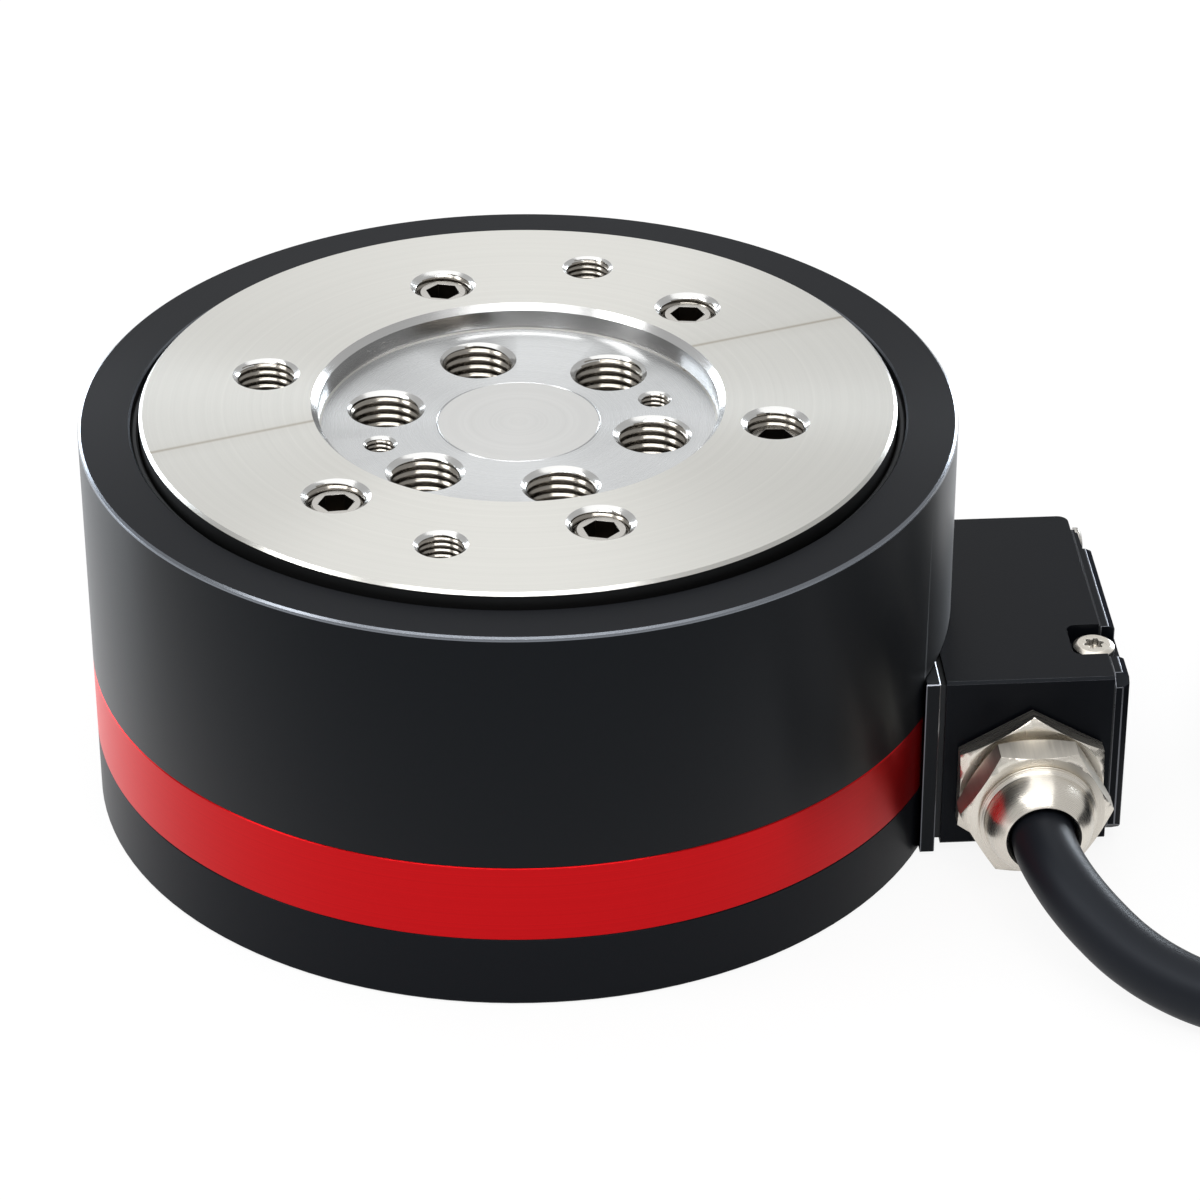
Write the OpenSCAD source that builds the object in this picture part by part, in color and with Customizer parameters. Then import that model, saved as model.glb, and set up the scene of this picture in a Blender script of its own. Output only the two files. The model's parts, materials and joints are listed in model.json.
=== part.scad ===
// Six-axis force torque sensor for a robot wrist, with a side connector box and a cable.
// Z = 0 is the robot-side face; the tool-side face is on top; the connector box is on +X.

/* [Housing] */
// Outer diameter of the housing
body_d = 140; // [130:0.5:150]
// Height of the black base ring
base_h = 12.2; // [11.6:0.1:14]
// Height of the coloured ring
band_h = 13.2; // [12.5:0.1:15]
// Height of the upper shell
shell_h = 40.8; // [38:0.1:46]
// Thickness of the upper shell's wall
shell_wall = 6; // [5:0.1:7]
// Height of the shell's thick foot
shell_foot_h = 9; // [8:0.1:12]
// Height of the shell's lip round the tool flange
lip_h = 8; // [5:0.1:10]
// Wall of the housing's lower part
housing_wall = 12; // [11.5:0.1:12.2]
// Chamfer on the housing's outer edges
edge_chamfer = 0.5; // [0.2:0.1:0.8]

/* [Tool flange] */
// Distance of the tool flange's edge from the housing's outside
flange_inset = 9.75; // [9:0.05:11]
// Thickness of the tool flange's disc
flange_t = 16; // [14:0.1:18]
// How far the tool flange stands above the shell
flange_proud = 1.8; // [0.5:0.1:4]
// Gap between the tool flange and the shell's lip
flange_gap = 1.5; // [1:0.1:2]
// Diameter of the centring recess
recess_d = 64; // [62:0.1:66]
// Depth of the centring recess
recess_depth = 4.2; // [3:0.1:6]
// Chamfer on the mouth of the centring recess
recess_chamfer = 1; // [0.4:0.1:1.5]
// Diameter of the groove line in the middle of the recess
centre_ring_d = 26; // [20:0.5:30]
// Angle of the hole patterns' first hole
pattern_angle = -15; // [-20:1:-10]
// Pitch circle of the inner holes
inner_pcd = 43.5; // [42:0.1:45]
// Tapping diameter of the inner holes
inner_hole_d = 10.5; // [9:0.1:11]
// Depth of the inner holes
inner_hole_depth = 15; // [12:0.1:16]
// Pitch circle of the outer holes
outer_pcd = 83; // [80:0.5:86]
// Tapping diameter of the outer holes
outer_hole_d = 8.8; // [8:0.1:9.5]
// Chamfer on the mouths of the inner and outer holes
hole_chamfer = 1; // [0.4:0.1:1.3]
// Pitch circle of the two small holes in the recess
small_pcd = 46; // [45:0.1:47]
// Tapping diameter of the small holes in the recess
small_hole_d = 4.2; // [3.5:0.1:5]
// Depth of the small holes in the recess
small_hole_depth = 8; // [6:0.1:9]
// Pitch circle of the two single holes
single_pcd = 94; // [92:0.5:98]
// Tapping diameter of the two single holes
single_hole_d = 6.8; // [6:0.1:7.5]
// Depth of the two single holes
single_hole_depth = 12; // [8:0.1:14]
// Angle of the two single holes
single_angle = 73; // [70:1:78]
// Length of a set screw
set_screw_l = 10; // [6:0.5:12]
// Depth of the set screws below the tool face
set_screw_drop = 1.2; // [0.8:0.1:3.5]

/* [Measuring body] */
// Play between the measuring body and the housing
ring_play = 0.5; // [0.4:0.05:1]
// Wall of the measuring body's outer ring
ring_wall = 13.5; // [12.5:0.1:14.5]
// Height of the measuring body
ring_h = 31.8; // [30.5:0.1:33]
// Diameter of the hub
hub_d = 60; // [58:0.5:64]
// Height of the hub
hub_h = 16; // [15:0.1:18]
// Bore of the hub
hub_bore_d = 12; // [8:0.5:14]
// Width of a measuring beam
beam_w = 11; // [9:0.1:13]
// Height of a measuring beam
beam_h = 12; // [10:0.1:13]
// Thickness of the thin wall that a beam ends in
flexure_t = 3.5; // [2.5:0.1:4.5]
// Width of the slot behind the thin wall
slot_w = 2.5; // [1.5:0.1:3]
// Half angle of the slot behind the thin wall
slot_angle = 13; // [10:0.5:15]
// Length of a strain gauge
gauge_l = 7; // [4:0.5:9]
// Width of a strain gauge
gauge_w = 5; // [3:0.5:6]
// Thickness of a strain gauge
gauge_t = 0.3; // [0.2:0.05:0.5]
// Diameter of an overload pin
stop_pin_d = 5; // [4:0.1:6]

/* [Base] */
// Diameter of the robot-side centring recess
pilot_d = 63; // [62:0.1:64]
// Depth of the robot-side centring recess
pilot_depth = 5; // [4.5:0.1:5.5]
// Diameter of the base cover
cover_d = 60.8; // [60:0.1:61]
// Thickness of the base cover
cover_t = 2.6; // [2:0.1:3]
// Thickness of the flat gaskets
gasket_t = 0.6; // [0.4:0.05:0.8]
// Opening behind the base cover
opening_d = 51; // [50.6:0.1:52]
// Pitch circle of the base cover's screws
cover_screw_pcd = 56; // [55.6:0.1:56.6]
// Pitch circle of the robot-side holes
robot_pcd = 100; // [98:0.5:101]
// Tapping diameter of the robot-side holes
robot_hole_d = 6.8; // [6:0.1:7.5]
// Depth of the robot-side holes
robot_hole_depth = 10; // [8:0.1:11]
// Diameter of the robot-side dowel hole
dowel_hole_d = 8; // [6:0.1:8]
// Depth of the robot-side dowel hole
dowel_hole_depth = 8; // [6:0.1:10]
// Distance of the shell's screws from the housing's outside
shell_screw_inset = 6; // [5.5:0.1:6.5]
// Distance of the measuring body's screws from its outside
ring_screw_inset = 6.5; // [6:0.1:7]

/* [Electronics] */
// Diameter of the amplifier board
board_d = 46; // [40:0.5:48]
// Thickness of the boards
board_t = 1.6; // [1:0.1:2]
// Height of the amplifier board above the base cover
standoff_h = 5; // [4:0.1:6]
// Diameter of the lead to the connector box
lead_d = 5; // [3:0.1:6]
// Height of the lead's axis
lead_z = 19; // [18.6:0.1:20]
// Sideways place of the lead's axis
lead_y = -8; // [-9:0.5:-7]

/* [Connector box] */
// Depth of the mounting flat in the housing's side
flat_depth = 7.5; // [7:0.1:8]
// Thickness of the mounting plate
plate_t = 2.3; // [2:0.1:3]
// Thickness of the box seal
seal_t = 1; // [0.6:0.1:1.4]
// Depth of the box from the seal to the side cover
box_x = 26.7; // [26:0.1:28]
// Place of the box's front face
box_front_y = -33; // [-34:0.1:-32]
// Length of the box
box_y = 51; // [49:0.5:54]
// Height of the box's underside above the robot-side face
box_z0 = 1.7; // [1:0.1:2.2]
// Height of the box
box_h = 30.7; // [30:0.1:31.5]
// Wall of the box
box_wall = 2.5; // [2.2:0.1:2.8]
// Radius of the box's back corner
box_corner_r = 1.8; // [1:0.1:2.5]
// Thickness of the side cover
side_cover_t = 1.1; // [1:0.1:1.6]
// How far the side cover stays below the box's top
side_cover_drop = 0.5; // [0.3:0.1:1]
// Width of a screw pocket
pocket_w = 9; // [8:0.1:10]
// Depth of a screw pocket below the box's face
pocket_depth = 4; // [3.6:0.1:4.6]
// Distance of the screw pockets from the box's front
pocket_y = 11.7; // [10:0.1:13]
// Diameter of a cover screw's head
pan_head_d = 6; // [5.2:0.1:6.2]
// Height of a cover screw's head
pan_head_h = 2; // [1.6:0.1:2.2]

/* [Gland and cable] */
// Distance of the cable gland's axis from the mounting flat
gland_offset = 17; // [16.6:0.1:18]
// Height of the cable gland's axis
gland_z = 14; // [13.6:0.1:14.4]
// Thread diameter of the cable gland
gland_thread_d = 16; // [15:0.5:16.5]
// Width across flats of the gland's body
gland_af = 23; // [22:0.1:24]
// Thickness of the gland body's hexagon
gland_hex_h = 3.4; // [3:0.1:5]
// Width across flats of the gland's cap nut
cap_af = 21.3; // [20:0.1:22]
// Length of the cap nut's hexagon
cap_hex_h = 5.6; // [5:0.1:7]
// Length of the cap nut's dome
dome_h = 6.9; // [5:0.1:8]
// Diameter of the cap nut's dome at its root
dome_d = 18.4; // [17:0.1:19]
// Diameter of the cap nut's mouth
mouth_d = 11.2; // [11:0.1:12]
// Diameter of the cable
cable_d = 10; // [9:0.1:10.4]
// Turns of the coil side by side
coil_across = 4; // [3:1:5]
// Turns of the coil on top of each other
coil_layers = 2; // [1:1:3]
// Radius at the middle of the coil's turns
coil_r = 55.4; // [50:0.1:60]
// Diameter of the plug
plug_d = 26; // [22:0.5:28]

/* [Hidden] */
$fn = 96;

eps = 0.01;          // how far a cutter runs past the face it cuts
fit = 0.05;          // radial clearance of a screw or pin in its hole
slide = 0.15;        // clearance of a piece in its seat
screw_play = 0.25;   // radial clearance of a screw in a through hole

body_r = body_d / 2;
housing_bore_d = body_d - 2 * housing_wall;
flange_d = body_d - 2 * flange_inset;
ring_d = housing_bore_d - 2 * ring_play;
ring_bore_d = ring_d - 2 * ring_wall;
ring_screw_pcd = ring_d - 2 * ring_screw_inset;
stop_pin_pcd = (outer_pcd + outer_hole_d + ring_d) / 2;
shell_screw_pcd = body_d - 2 * shell_screw_inset;
flat_x = body_r - flat_depth;
gland_x = flat_x + gland_offset;
band_z = base_h;
shell_z = base_h + band_h;
shell_top = shell_z + shell_h;
tool_z = shell_top + flange_proud;
flange_z = tool_z - flange_t;
ring_top = base_h + ring_h;
hub_z = ring_top - hub_h;
beam_z = hub_z + (hub_h - beam_h) / 2 + 1;
lip_r = flange_d / 2 + flange_gap;
recess_z = tool_z - recess_depth;

pattern = [for (i = [0:5]) pattern_angle + 60 * i];
between = [for (a = pattern) a + 30];
beams = [for (i = [0:2]) pattern_angle + 120 * i];
stops = [for (a = beams) a + 60];
shell_screw_angles = [60, 105, 150, 210, 255, 300];
open_hole = 3;       // the outer hole that has no set screw
deep_hole = 0;       // the outer hole whose set screw sits one turn deeper
set_screw_turn = 1.3;
set_screw_spin = [12, 8, 0, 0, 20, 0];

m25_d = 2.5;
m3_d = 3;
m4_d = 4;
m5_d = 5;
m5_head_d = 8.5;
m5_head_h = 5;
m5_af = 4;
m4_head_d = 7;
m4_head_h = 4;
m4_af = 3;
set_screw_af = 5;
torx_d = 2.9;

ring_screw_seat = 22;
ring_screw_l = 17.8;
hub_screw_pcd = 42;
hub_screw_seat = hub_z + 6;
hub_screw_l = 19;
hub_dowel_pcd = 24;
hub_dowel_d = 4;
shell_screw_seat = 4.6;
shell_screw_l = 28;
stop_pin_seat = 8;
stop_pin_l = 22;
stop_pin_top = ring_top - stop_pin_seat + stop_pin_l;
stop_play = 0.4;
hub_dowel_angles = [45, 225];
hub_dowel_seat = 6;
hub_dowel_l = 12;
flange_seal_drop = 1.2;
flange_seal_h = 4;
tongue_h = 1.8;
tongue_w = 1.2;
seal_w = 1.5;
seal_groove = 1;
seal_r = housing_bore_d / 2 + 1.5;

seat_z = pilot_depth + cover_t + gasket_t;
cover_z = pilot_depth;
board_z = seat_z - gasket_t + standoff_h;
standoff_angles = [50, 170, 290];
standoff_pcd = 36;
standoff_d = 5;
connector_top = lead_z + lead_d / 2 + 1;
connector_x = 10;
connector_l = 7;
connector_w = 10;

plate_x = flat_x;
seal_x = plate_x + plate_t;
box_x0 = seal_x + seal_t;
cover_gasket_t = 0.3;
gasket_x = box_x0 + box_x;
side_x = gasket_x + cover_gasket_t;
box_end_x = side_x + side_cover_t;
box_top = box_z0 + box_h;
box_mid_z = box_z0 + box_h / 2;
box_back_y = box_front_y + box_y;
cavity_x = box_x0 + box_wall;
plate_overlap = 0.4;
plate_z0 = 0.5;
passage_r = lead_d / 2 + 1;
pocket_mid_y = box_front_y + pocket_y;
cover_screw_x = gasket_x - 1.5;
pocket_x0 = cover_screw_x - pan_head_d / 2 - 1;
cover_screw_l = 8;
lug_t = 1.2;
side_screw_y = box_back_y - 4;
side_screw_z = box_top - 3.4;
side_boss = 6;
boss_h = 7;
seal_inset = 0.8;
side_screw_l = 6;
side_recess = 0.7;
side_head_h = 1.2;
box_screw_y = [box_front_y + 9, box_back_y - 6];
box_screw_z = [box_z0 + 6.6, box_z0 + 16.6];
box_screw_l = 10;

terminal_x = cavity_x + 2.2;
terminal_y = [-14, 9];
terminal_z = [box_z0 + 3.4, box_top - 3.8];
terminal_inset = 3;
terminal_post_d = 5;
block_y = [-8, 2];
block_z = [gland_z - 7, gland_z + 7];
block_x = gland_x + 3;
conductor_d = 1.8;
conductor_step = 3;

washer_t = 0.6;
collar_h = 1.3;
collar_d = 17.4;
cap_y0 = washer_t + gland_hex_h + collar_h;
mouth_y = cap_y0 + cap_hex_h + dome_h;
lock_nut_af = 18.8;
lock_nut_h = 3;
jacket_end_y = box_front_y + 6;
seal_front = 3;
seal_len = 9;
gland_seal_d = 12.6;
spigot_d = 15;
spigot_h = 4.6;

coil_centre = [gland_x + 110.5, box_front_y + 17];
coil_z0 = 0;
turn_r = coil_r + (coil_across - 1) * cable_d / 2;
coil_lead = 44;
tail_lead = 38;
// steps of the route from the gland's mouth: along X, along Y, and the share of the gland's height
route_steps = [
    [0, -7, 1], [0, -15, 1], [0, -20, 0.989],
    [1, -25, 0.911], [3, -30, 0.756], [6, -35, 0.556], [10, -40, 0.333],
    [15, -44.5, 0.156], [21, -48.5, 0.044], [28, -51.4, 0], [36, -53, 0],
    [46, -53.6, 0], [56, -53.6, 0]
];
lying_z = cable_d / 2;
cable_route = concat(
    [[gland_x, jacket_end_y, gland_z]],
    [for (s = route_steps) [gland_x + s[0], box_front_y + s[1], lying_z + s[2] * (gland_z - lying_z)]],
    [[coil_centre[0] - coil_lead, coil_centre[1] - turn_r, lying_z]]
);
plug_grip = 0.8;
plug_z = plug_d / 2 + plug_grip;
tail_x = coil_centre[0] + turn_r;
tail_y = coil_centre[1] + tail_lead;
boot_l = 20;
tail_l = 12;
boot_y = tail_y + tail_l;
plug_y = boot_y + boot_l;
plug_l = 30;
plug_ring_l = 16;
insert_d = 18;
insert_l = 6;
insert_depth = 18;
coil_corner = 3;
tie_t = 0.8;
tie_w = 5;
top_turn_z = (coil_layers - 0.5) * cable_d;
tail_steps = [[0, 1], [3, 0.85], [6, 0.5], [9, 0.15], [tail_l, 0]];
tail_route = [for (s = tail_steps) [tail_x, tail_y + s[0], plug_z + s[1] * (top_turn_z - plug_z)]];

// ---------------------------------------------------------------- shared forms

module at_angles(angles, pcd) {
    for (a = angles) rotate(a) translate([pcd / 2, 0, 0]) children();
}

// Holes at polar places, with a 45 degree chamfer at the mouth
module tapped_hole(d, depth, chamfer) {
    translate([0, 0, -depth]) cylinder(d = d, h = depth + eps);
    translate([0, 0, -chamfer]) cylinder(d1 = d, d2 = d + 2 * chamfer + 2 * eps, h = chamfer + eps);
}

// A ring of rectangular section
module ring(r_in, r_out, h) {
    rotate_extrude() translate([r_in, 0]) square([r_out - r_in, h]);
}

// A ring whose outer edges are chamfered below and above
module chamfered_ring(r_in, r_out, h, low, high) {
    rotate_extrude() polygon([
        [r_in, 0], [r_out - low, 0], [r_out, low],
        [r_out, h - high], [r_out - high, h], [r_in, h]
    ]);
}

// A socket head cap screw that stands on its seat at Z = 0 with its thread downwards
module cap_screw(d, l, head_d, head_h, af) {
    edge = 0.4;
    difference() {
        union() {
            translate([0, 0, -l]) cylinder(d = d, h = l + eps);
            cylinder(d = head_d, h = head_h - edge);
            translate([0, 0, head_h - edge]) cylinder(d1 = head_d, d2 = head_d - 2 * edge, h = edge);
        }
        translate([0, 0, head_h - af * 0.6]) cylinder(d = af / cos(30), h = af, $fn = 6);
    }
}

// A countersunk screw whose head is flush with Z = 0 and whose thread runs downwards
module countersunk_screw(d, l, head_d) {
    head_h = (head_d - d) / 2;
    difference() {
        union() {
            translate([0, 0, -l]) cylinder(d = d, h = l);
            translate([0, 0, -head_h]) cylinder(d1 = d, d2 = head_d, h = head_h);
        }
        translate([0, 0, -d * 0.4]) cylinder(d = d * 0.65, h = d, $fn = 6);
    }
}

// The outline of a six-lobed driver recess
module lobed_outline(d) {
    circle(d = d * 0.72, $fn = 32);
    for (a = [0:60:300]) rotate(a) translate([d * 0.37, 0]) circle(d = d * 0.26, $fn = 24);
}

// A pan head screw that stands on its seat at Z = 0 with its thread downwards
module pan_screw(d, l, head_d, head_h) {
    crown = 0.5;
    difference() {
        union() {
            translate([0, 0, -l]) cylinder(d = d, h = l + eps, $fn = 48);
            cylinder(d = head_d, h = head_h - crown, $fn = 64);
            translate([0, 0, head_h - crown])
                cylinder(d1 = head_d, d2 = head_d - 2.6 * crown, h = crown, $fn = 64);
        }
        translate([0, 0, head_h * 0.4]) linear_extrude(head_h) lobed_outline(torx_d);
    }
}

// A hexagon along Z whose corners are turned to a chamfer at one or both ends
module turned_hexagon(af, h, bevel_low, bevel_high) {
    corner = af / 2 / cos(30);
    low = bevel_low ? (corner - af / 2) * 0.6 : 0;
    high = bevel_high ? (corner - af / 2) * 0.6 : 0;
    intersection() {
        cylinder(r = corner, h = h, $fn = 6);
        rotate_extrude() polygon([
            [0, 0], [bevel_low ? af / 2 : corner + 1, 0], [corner + 1, low * (corner + 1 - af / 2) / (corner - af / 2)],
            [corner + 1, h - high * (corner + 1 - af / 2) / (corner - af / 2)],
            [bevel_high ? af / 2 : corner + 1, h], [0, h]
        ]);
    }
}

// Turns +Z to -Y at the cable gland's place on the box's front face
module on_gland_axis(y = 0) {
    translate([gland_x, box_front_y - y, gland_z]) rotate([90, 0, 0]) children();
}

function unit(v) = v / norm(v);
function tangent(p, i) =
    unit(p[min(i + 1, len(p) - 1)] - p[max(i - 1, 0)]);

// A tube of sides faces swept along a route that never runs straight up
module swept_tube(route, r, sides) {
    n = len(route);
    points = [
        for (i = [0:n - 1])
            let (t = i == 0 ? unit([0, t0(route, 0), 0]) : i == n - 1 ? end_direction(route) : tangent(route, i))
            let (side = unit(cross(t, [0, 0, 1])), up = cross(side, t))
            for (k = [0:sides - 1])
                let (a = 360 * (k + 0.5) / sides)
                route[i] + r * (cos(a) * side + sin(a) * up)
    ];
    faces = concat(
        [[for (k = [sides - 1:-1:0]) k]],
        [[for (k = [0:sides - 1]) (n - 1) * sides + k]],
        [for (i = [0:n - 2]) for (k = [0:sides - 1])
            [i * sides + k, i * sides + (k + 1) % sides, (i + 1) * sides + (k + 1) % sides, (i + 1) * sides + k]]
    );
    polyhedron(points = points, faces = faces, convexity = 6);
}

// The sign of the first step along Y, and the last direction squared to X or Y
function t0(p, i) = sign(p[1][1] - p[0][1]);
function end_direction(p) =
    let (d = p[len(p) - 1] - p[len(p) - 2])
    abs(d[0]) > abs(d[1]) ? [sign(d[0]), 0, 0] : [0, sign(d[1]), 0];

// ---------------------------------------------------------------- housing

// The flat seat that is milled into the housing for the connector box
module box_seat() {
    translate([flat_x, -body_r, -1])
        cube([body_r, body_r + box_back_y + slide, box_top + slide + 1]);
}

module lead_passage(x0, x1) {
    translate([x0, lead_y, lead_z]) rotate([0, 90, 0]) cylinder(r = passage_r, h = x1 - x0);
}

// Places children at the box screws' axes, with Z pointing inwards from the flat
module at_box_screws(x) {
    for (y = box_screw_y) for (z = box_screw_z) translate([x, y, z]) rotate([0, -90, 0]) children();
}

module box_screw_taps() {
    at_box_screws(flat_x + eps) cylinder(d = m3_d + 2 * fit, h = 5);
}

module base_flange() color([0.05, 0.05, 0.06]) {
    difference() {
        chamfered_ring(opening_d / 2, body_r, base_h, edge_chamfer, 0.15);
        translate([0, 0, -eps]) cylinder(d = pilot_d, h = pilot_depth + eps);
        cylinder(d = cover_d + 2 * slide, h = seat_z);
        translate([0, 0, -eps]) cylinder(d1 = pilot_d + 1, d2 = pilot_d, h = 0.5);
        at_angles(pattern, robot_pcd) translate([0, 0, -eps]) cylinder(d = robot_hole_d, h = robot_hole_depth + eps);
        translate([robot_pcd / 2, 0, -eps]) cylinder(d = dowel_hole_d, h = dowel_hole_depth);
        at_angles(shell_screw_angles, shell_screw_pcd) {
            translate([0, 0, -eps]) cylinder(d = m4_head_d + 2 * screw_play, h = shell_screw_seat + eps);
            cylinder(d = m4_d + 2 * screw_play, h = base_h + eps);
        }
        at_angles(between, ring_screw_pcd)
            translate([0, 0, ring_screw_seat - ring_screw_l - 0.5]) cylinder(d = m5_d + 2 * fit, h = base_h);
        at_angles(between, cover_screw_pcd) cylinder(d = m25_d + 2 * fit, h = base_h - 0.6);
        translate([0, 0, base_h - seal_groove]) ring(seal_r, seal_r + seal_w, seal_groove + eps);
        box_seat();
        box_screw_taps();
    }
}

module base_seal() color([0.08, 0.08, 0.08]) {
    translate([0, 0, base_h - seal_groove]) ring(seal_r, seal_r + seal_w, seal_groove);
}

module base_cover() color([0.6, 0.6, 0.62]) {
    difference() {
        translate([0, 0, cover_z]) cylinder(d = cover_d, h = cover_t);
        at_angles(between, cover_screw_pcd) {
            cylinder(d = m25_d + 2 * screw_play, h = seat_z);
            translate([0, 0, cover_z - eps]) cylinder(d1 = 2 * m25_d, d2 = m25_d, h = m25_d / 2);
        }
    }
}

module base_cover_gasket() color([0.1, 0.1, 0.1]) {
    difference() {
        translate([0, 0, cover_z + cover_t]) ring(opening_d / 2, cover_d / 2 - slide, gasket_t);
        at_angles(between, cover_screw_pcd) cylinder(d = m25_d + 2 * screw_play, h = seat_z + eps);
    }
}

module base_cover_screws() color([0.7, 0.7, 0.72]) {
    at_angles(between, cover_screw_pcd)
        translate([0, 0, cover_z]) rotate([180, 0, 0]) countersunk_screw(m25_d, 6, 2 * m25_d - 0.3);
}

module accent_ring() color([0.8, 0.05, 0.08]) {
    difference() {
        translate([0, 0, band_z]) chamfered_ring(housing_bore_d / 2, body_r, band_h, 0.15, 0.15);
        at_angles(shell_screw_angles, shell_screw_pcd)
            translate([0, 0, band_z - eps]) cylinder(d = m4_d + 2 * screw_play, h = band_h + 2 * eps);
        translate([0, 0, shell_z - seal_groove]) ring(seal_r, seal_r + seal_w, seal_groove + eps);
        box_seat();
        box_screw_taps();
        lead_passage(housing_bore_d / 2 - 8, body_r);
    }
}

module shell_seal() color([0.08, 0.08, 0.08]) {
    translate([0, 0, shell_z - seal_groove]) ring(seal_r, seal_r + seal_w, seal_groove);
}

module upper_shell() color([0.05, 0.05, 0.06]) {
    lip_z = shell_h - lip_h;
    wall_r = body_r - shell_wall;
    groove_z = shell_h - flange_seal_drop - flange_seal_h / 2;
    difference() {
        translate([0, 0, shell_z]) rotate_extrude() polygon([
            [housing_bore_d / 2, 0], [body_r - 0.15, 0], [body_r, 0.15], [body_r, shell_h - edge_chamfer],
            [body_r - edge_chamfer, shell_h], [lip_r + 0.3, shell_h], [lip_r, shell_h - 0.3],
            [lip_r, groove_z + tongue_h / 2], [lip_r + tongue_w, groove_z + tongue_h / 2],
            [lip_r + tongue_w, groove_z - tongue_h / 2], [lip_r, groove_z - tongue_h / 2],
            [lip_r, lip_z], [wall_r, lip_z - 2], [wall_r, shell_foot_h], [housing_bore_d / 2, shell_foot_h]
        ]);
        at_angles(shell_screw_angles, shell_screw_pcd)
            translate([0, 0, shell_z - eps])
                cylinder(d = m4_d + 2 * fit, h = shell_screw_seat + shell_screw_l + 0.4 - shell_z);
        box_seat();
    }
}

module shell_screws() color([0.3, 0.3, 0.32]) {
    at_angles(shell_screw_angles, shell_screw_pcd)
        translate([0, 0, shell_screw_seat]) rotate([180, 0, 0])
            cap_screw(m4_d, shell_screw_l, m4_head_d, m4_head_h, m4_af);
}

// ---------------------------------------------------------------- measuring body

module beam(a) {
    rotate(a) translate([hub_d / 2 - 2, -beam_w / 2, beam_z])
        cube([(ring_bore_d - hub_d) / 2 + 3, beam_w, beam_h]);
}

// The slot behind a beam's end, which leaves a thin wall that lets the beam bend
module flexure_slot(a) {
    rotate(a - slot_angle) translate([0, 0, hub_z - 1])
        rotate_extrude(angle = 2 * slot_angle) translate([ring_bore_d / 2 + flexure_t, 0])
            square([slot_w, hub_h + 2]);
}

module measuring_body() color([0.72, 0.72, 0.74]) {
    difference() {
        union() {
            translate([0, 0, base_h]) ring(ring_bore_d / 2, ring_d / 2, ring_h);
            translate([0, 0, hub_z]) cylinder(d = hub_d, h = hub_h);
            for (a = beams) beam(a);
        }
        for (a = beams) flexure_slot(a);
        at_angles(between, ring_screw_pcd) {
            translate([0, 0, base_h - eps]) cylinder(d = m5_d + 2 * screw_play, h = ring_h);
            translate([0, 0, ring_screw_seat]) cylinder(d = m5_head_d + 1, h = ring_h);
        }
        at_angles(stops, stop_pin_pcd)
            translate([0, 0, ring_top - stop_pin_seat]) cylinder(d = stop_pin_d, h = stop_pin_seat + eps);
        translate([0, 0, hub_z - eps]) cylinder(d = hub_bore_d, h = hub_h + 2 * eps);
        at_angles(between, hub_screw_pcd) {
            translate([0, 0, hub_z - eps]) cylinder(d = m5_d + 2 * screw_play, h = hub_h + 2 * eps);
            translate([0, 0, hub_z - eps]) cylinder(d = m5_head_d + 0.8, h = hub_screw_seat - hub_z + eps);
        }
        at_angles(hub_dowel_angles, hub_dowel_pcd)
            translate([0, 0, ring_top - hub_dowel_seat]) cylinder(d = hub_dowel_d, h = hub_dowel_seat + eps);
        lead_passage(ring_bore_d / 2 - 6, ring_d / 2 + 1);
    }
}

module measuring_body_screws() color([0.3, 0.3, 0.32]) {
    at_angles(between, ring_screw_pcd)
        translate([0, 0, ring_screw_seat]) cap_screw(m5_d, ring_screw_l, m5_head_d, m5_head_h, m5_af);
}

// Gauges on a beam's top, underside and two sides
module strain_gauges() color([0.75, 0.5, 0.25]) {
    mid = (hub_d + ring_bore_d) / 4;
    for (a = beams) rotate(a) translate([mid - gauge_l / 2, 0, 0]) {
        translate([0, -gauge_w / 2, beam_z + beam_h]) cube([gauge_l, gauge_w, gauge_t]);
        translate([0, -gauge_w / 2, beam_z - gauge_t]) cube([gauge_l, gauge_w, gauge_t]);
        for (s = [-1, 1])
            translate([0, s * (beam_w + gauge_t) / 2 - gauge_t / 2, beam_z + (beam_h - gauge_w) / 2])
                cube([gauge_l, gauge_t, gauge_w]);
    }
}

module overload_pins() color([0.6, 0.6, 0.62]) {
    at_angles(stops, stop_pin_pcd)
        translate([0, 0, ring_top - stop_pin_seat]) {
            cylinder(d = stop_pin_d, h = stop_pin_l - 0.5);
            translate([0, 0, stop_pin_l - 0.5]) cylinder(d1 = stop_pin_d, d2 = stop_pin_d - 1, h = 0.5);
        }
}

// ---------------------------------------------------------------- tool flange

module recess_cutter() {
    foot = 0.5;
    r = recess_d / 2;
    rotate_extrude() polygon([
        [0, 0], [r - foot, 0], [r, foot], [r, recess_depth - recess_chamfer],
        [r + recess_chamfer + eps, recess_depth + eps], [0, recess_depth + eps]
    ]);
}

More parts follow.
